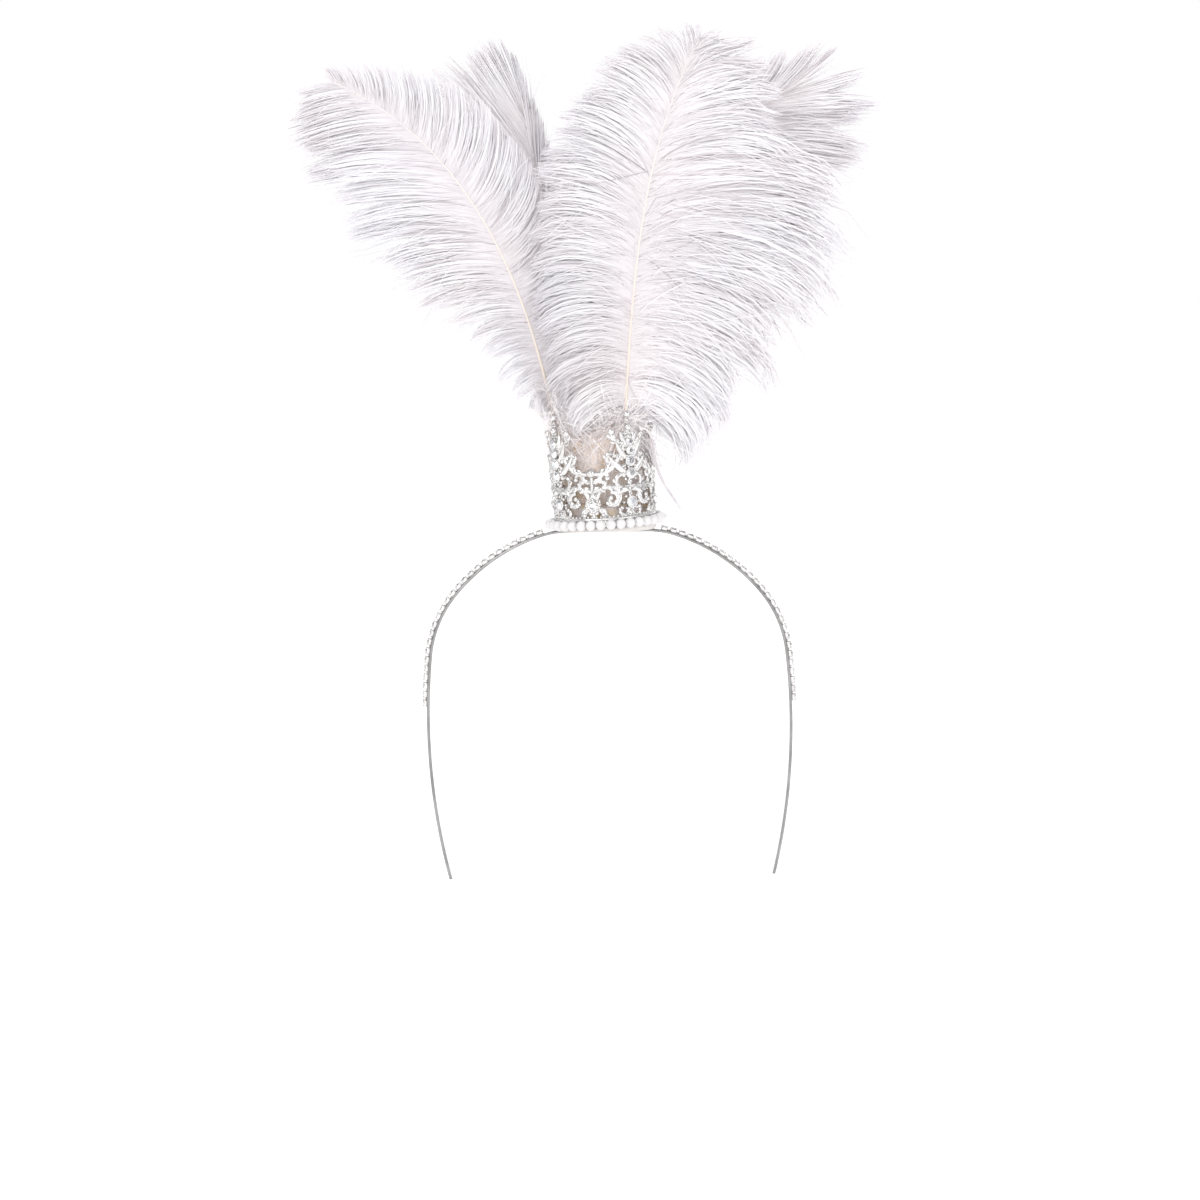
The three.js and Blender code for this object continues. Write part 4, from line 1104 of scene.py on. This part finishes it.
def crown_beads(silver):
    """The crown's beads: at the ends of scrolls, stems and posts, a row of grains on the foot rim, eight
    petals round each large stone, and the stones' cups."""
    ends = np.concatenate([both_sides(scroll_line(row)) for row in SCROLLS])[:, -1]
    end_centres = on_wall(ends[:, 0], ends[:, 1], -0.5).reshape(-1, 3)
    end_radius = np.repeat([ARM_BEAD if name == "arm" else SCROLL_BEAD for name, *_ in SCROLLS], 2)
    middle = np.array([0.0])
    knots = on_wall(middle, np.array([STEM_BEAD[0] * CROWN_HEIGHT]), -0.4).reshape(-1, 3)
    tips = on_wall(middle, np.array([CROWN_HEIGHT - FINIAL_RADIUS]), -0.75).reshape(-1, 3)
    tops = on_wall(middle, np.array([0.45 * CROWN_HEIGHT + 1.0]), -0.75, HALF_SECTOR).reshape(-1, 3)
    turn = np.arange(GRAINS) / GRAINS * 2 * np.pi
    grains = np.stack([np.sin(turn), -np.cos(turn), 0 * turn], axis=1) * (WALL_RADIUS - 0.1)
    grains = leaned(grains + UP * (CROWN_SEAT + FOOT_RING_HEIGHT + 0.3))
    parts = [
        balls(end_centres, np.tile(end_radius, PEAKS), 7, 10),
        balls(knots, STEM_BEAD[1], 9, 12),
        balls(tips, FINIAL_RADIUS, 9, 12),
        balls(tops, POST_BEAD, 9, 14),
        balls(grains, GRAIN_RADIUS, 6, 8),
    ]
    for across, height, radius, offset in CROWN_STONES[:2] + CROWN_STONES[-1:]:
        petal = np.arange(8) / 8 * 2 * np.pi
        far = radius * CROWN_HEIGHT + 0.75
        x = across + far * np.cos(petal)
        z = height * CROWN_HEIGHT + far * np.sin(petal)
        parts.append(balls(on_wall(x, z, 0.15, offset).reshape(-1, 3), GRAIN_RADIUS, 6, 8))
    for row in CROWN_STONES:
        frames, radius = stone_place(row)
        parts.append(cups(frames, radius, 1.0))
    make_piece("crown_beads", parts, silver, ["crown"])


def crown_stones(crystal):
    """The crown's cut stones, each lifted into its cup."""
    parts = []
    for row in CROWN_STONES:
        frames, radius = stone_place(row)
        lifted = (frames[0] + frames[3] * 0.55, *frames[1:])
        parts.append(cut_stones(lifted, radius, 0.95))
    make_piece("crown_stones", parts, crystal, ["crown"], smooth=False)


# Pearls and pad


def pearls():
    """A ring of round pearls that touch, leaning with the crown."""
    count = round(2 * np.pi * PEARL_RING_RADIUS / PEARL_DIAMETER)
    angle = (np.arange(count) + 0.5) / count * 2 * np.pi
    ring = np.stack([np.sin(angle), -np.cos(angle), 0 * angle], axis=1) * PEARL_RING_RADIUS
    centres = leaned(ring + UP * (PEARL_SEAT + PEARL_DIAMETER / 2))
    return balls(centres, PEARL_DIAMETER / 2, 15, 20)


def pad():
    """A round felt pad with a raised middle, as rings turned about the axis, with the uneven edge of cut
    felt."""
    angle = np.arange(96) / 96 * 2 * np.pi
    ragged = 0.12 * np.sin(7 * angle + 1) + 0.1 * np.sin(13 * angle) + 0.06 * np.sin(29 * angle)
    profile = [
        (0.4, PAD_UNDER + 0.2),
        (PAD_RADIUS - 0.7, PAD_UNDER + 0.02),
        (PAD_RADIUS - 0.2, PAD_UNDER + 0.5),
        (PAD_RADIUS - 0.2, PAD_TOP - 0.5),
        (PAD_RADIUS - 0.8, PAD_TOP - 0.05),
        (SOCKET_RADIUS + 1.2, PAD_TOP - 0.05),
        (SOCKET_RADIUS - 0.2, PAD_TOP + 0.8),
        (SOCKET_RADIUS - 0.3, SOCKET_TOP - 1.6),
        (SOCKET_RADIUS - 1.6, SOCKET_TOP - 0.3),
        (0.4, SOCKET_TOP),
    ]
    rings = []
    for radius, height in profile:
        girth = radius + ragged * (radius > 1)
        x = girth * np.sin(angle)
        lean = x * np.tan(LEAN) * (PAD_UNDER + 0.3 < height <= PAD_TOP)
        rings.append(np.stack([x, -girth * np.cos(angle), height + lean], axis=1))
    return tube_faces(np.array(rings)[None])


# Hoop


def hoop_at(length):
    """Half the hoop's underside as a level stretch and then arcs: x, z and how far it has turned, after
    each length."""
    length = np.asarray(length, float)
    level = np.minimum(length, HOOP_LEVEL_HALF)
    x, z, left, turned = level.copy(), np.zeros_like(length), length - level, np.zeros_like(length)
    before = 0.0
    for radius, turns_to in HOOP_BENDS:
        after = np.radians(turns_to)
        run = np.clip(left, 0, radius * (after - before))
        now = turned + run / radius
        x += radius * (np.sin(now) - np.sin(turned))
        z -= radius * (np.cos(turned) - np.cos(now))
        left, turned, before = left - run, now, after
    return x, z, turned


HOOP_HALF = HOOP_LEVEL_HALF + sum(
    radius * np.radians(turns_to - before)
    for (radius, turns_to), before in zip(HOOP_BENDS, [0] + [row[1] for row in HOOP_BENDS])
)


def hoop_frame(length, out):
    """Points at a height out of the hoop's underside, and the outward direction, for signed lengths from
    its middle."""
    length = np.asarray(length, float)
    x, z, turned = hoop_at(np.abs(length))
    sign = np.where(length < 0, -1.0, 1.0)
    outward = np.stack([sign * np.sin(turned), np.zeros_like(x), np.cos(turned)], axis=-1)
    point = np.stack([sign * x, np.zeros_like(x), z], axis=-1) + outward * out
    return point, outward


def hoop_strip():
    """A flat strip with rounded edges, carried along the hoop and rounded off at its two ends."""
    length = np.linspace(-HOOP_HALF, HOOP_HALF, HOOP_STEPS)
    point, outward = hoop_frame(length, HOOP_THICKNESS / 2)
    to_end = HOOP_HALF - np.abs(length)
    wide = HOOP_WIDTH / 2 * np.sqrt(np.clip(to_end / HOOP_END_ROUNDING, 0.05, 1))
    rings = carried(point[None], outward[None], wide[None], HOOP_THICKNESS / 2, boxy_section(16))
    return tube_faces(rings)


def boxy_section(sides):
    """A square with well rounded corners: the cosine and sine of a circle, each to a power under one."""
    circle = round_section(sides)
    return np.sign(circle) * np.abs(circle) ** 0.4


def hoop_chain(silver, crystal):
    """The row of stones on both arms of the hoop: squarish claw cups, joined by short links, and their
    stones."""
    last = STONES_COVER * HOOP_HALF
    right = np.arange(FIRST_STONE_RIGHT, last, STONE_PITCH)
    left = -np.arange(FIRST_STONE_LEFT, last, STONE_PITCH)
    length = np.concatenate([right, left])
    point, outward = hoop_frame(length, HOOP_THICKNESS)
    along = unit(hoop_frame(length + 0.1, HOOP_THICKNESS)[0] - point)
    frames = (point, along, np.cross(outward, along), outward)

    level = np.array([-0.3, 0.1, 1.0, 1.35, 1.1])
    girth = np.array([1.25, 1.42, 1.5, 1.36, 1.1])
    square = boxy_section(16)
    flat = along[:, None] * square[:, :1] + frames[2][:, None] * square[:, 1:]
    lift = (outward[:, None] * level[:, None])[:, :, None]
    rings = point[:, None, None] + flat[:, None] * girth[:, None, None] + lift
    corner = np.array([(1, 1), (-1, 1), (-1, -1), (1, -1)]) * 1.12
    claws = along[:, None] * corner[:, :1] + frames[2][:, None] * corner[:, 1:] + outward[:, None] * 1.45
    claws = claws + point[:, None]
    link_at = np.concatenate([right[:-1], left[:-1] - STONE_PITCH]) + STONE_PITCH / 2
    offset = np.linspace(-0.6, 0.6, 3)
    link_path, link_out = hoop_frame(link_at[:, None] + offset, HOOP_THICKNESS + 0.3)
    parts = [
        tube_faces(rings),
        balls(claws.reshape(-1, 3), 0.34, 5, 6),
        tube_faces(carried(link_path, link_out, 0.6, 0.35, boxy_section(8))),
    ]
    make_piece("hoop_cups", parts, silver, ["headband"])
    lifted = (point + outward * 0.95, *frames[1:])
    stones = cut_stones(lifted, np.full(len(length), 1.16), 0.95)
    make_piece("hoop_stones", [stones], crystal, ["headband"], smooth=False)


# Floor and light


def floor():
    """A level disc of paper below the hoop's ends."""
    angle = np.arange(64) / 64 * 2 * np.pi
    low = cad_low.z - FLOOR_BELOW * MM
    edge = np.stack([FLOOR_RADIUS * np.cos(angle), FLOOR_RADIUS * np.sin(angle), np.full(64, low)], axis=1)
    mesh = bpy.data.meshes.new("floor")
    mesh.from_pydata(edge.tolist(), [], [list(range(64))])
    mesh.materials.append(studio_paper())
    sheet = bpy.data.objects.new("floor", mesh)
    bpy.context.scene.collection.objects.link(sheet)


def studio_world():
    """White all round for the lens, a bright dome for soft light, and for gloss a room of light and dark
    panels."""
    world = bpy.data.worlds.new("studio")
    world.use_nodes = True
    tree = world.node_tree
    background = tree.nodes["Background"]
    way = add(tree, "ShaderNodeTexCoord").outputs["Generated"]
    parted = add(tree, "ShaderNodeSeparateXYZ", Vector=way)
    dome = add(tree, "ShaderNodeMapRange", i0=parted.outputs["Z"], i1=-0.4, i2=0.6, i3=0.75, i4=1.1)
    panel = add(tree, "ShaderNodeTexNoise", Vector=way, Scale=5.0, Detail=1.0)
    room = add(tree, "ShaderNodeMapRange", i0=panel.outputs["Fac"], i1=0.41, i2=0.52, i3=0.06, i4=1.0)
    rays = add(tree, "ShaderNodeLightPath")
    number = {"data_type": "FLOAT"}
    gloss = rays.outputs["Is Glossy Ray"]
    soft, sharp = dome.outputs["Result"], room.outputs["Result"]
    light = add(tree, "ShaderNodeMix", number, Factor=gloss, i2=soft, i3=sharp)
    lens = rays.outputs["Is Camera Ray"]
    seen = add(tree, "ShaderNodeMix", number, Factor=lens, i2=light.outputs[0], i3=1.0)
    tree.links.new(seen.outputs[0], background.inputs["Strength"])
    background.inputs["Color"].default_value = (1.0, 1.0, 1.0, 1.0)
    bpy.context.scene.world = world


# Scene

photo_camera()
bpy.context.scene.view_settings.view_transform = "Standard"
floor()
studio_world()
for row in SOFT_BOXES:
    soft_box(*row)

barbs = bleached_ostrich_barbs()
shaft_finish = feather_shaft_keratin()
down = ostrich_down()
silver = silver_plated_casting()
crystal = foiled_crystal()
for data in PLUMES:
    plume(data, barbs, shaft_finish)
crown_down(down)
quill_down(down)
loose_wisps(barbs)
crown_casting(silver)
crown_beads(silver)
crown_stones(crystal)
make_piece("pearls", [pearls()], pearl_lacquer(), ["pearl_ring"])
make_piece("felt_pad", [pad()], ivory_wool_felt(), ["pad"])
make_piece("hoop_strip", [hoop_strip()], rolled_steel_strip(), ["headband"])
hoop_chain(silver, crystal)
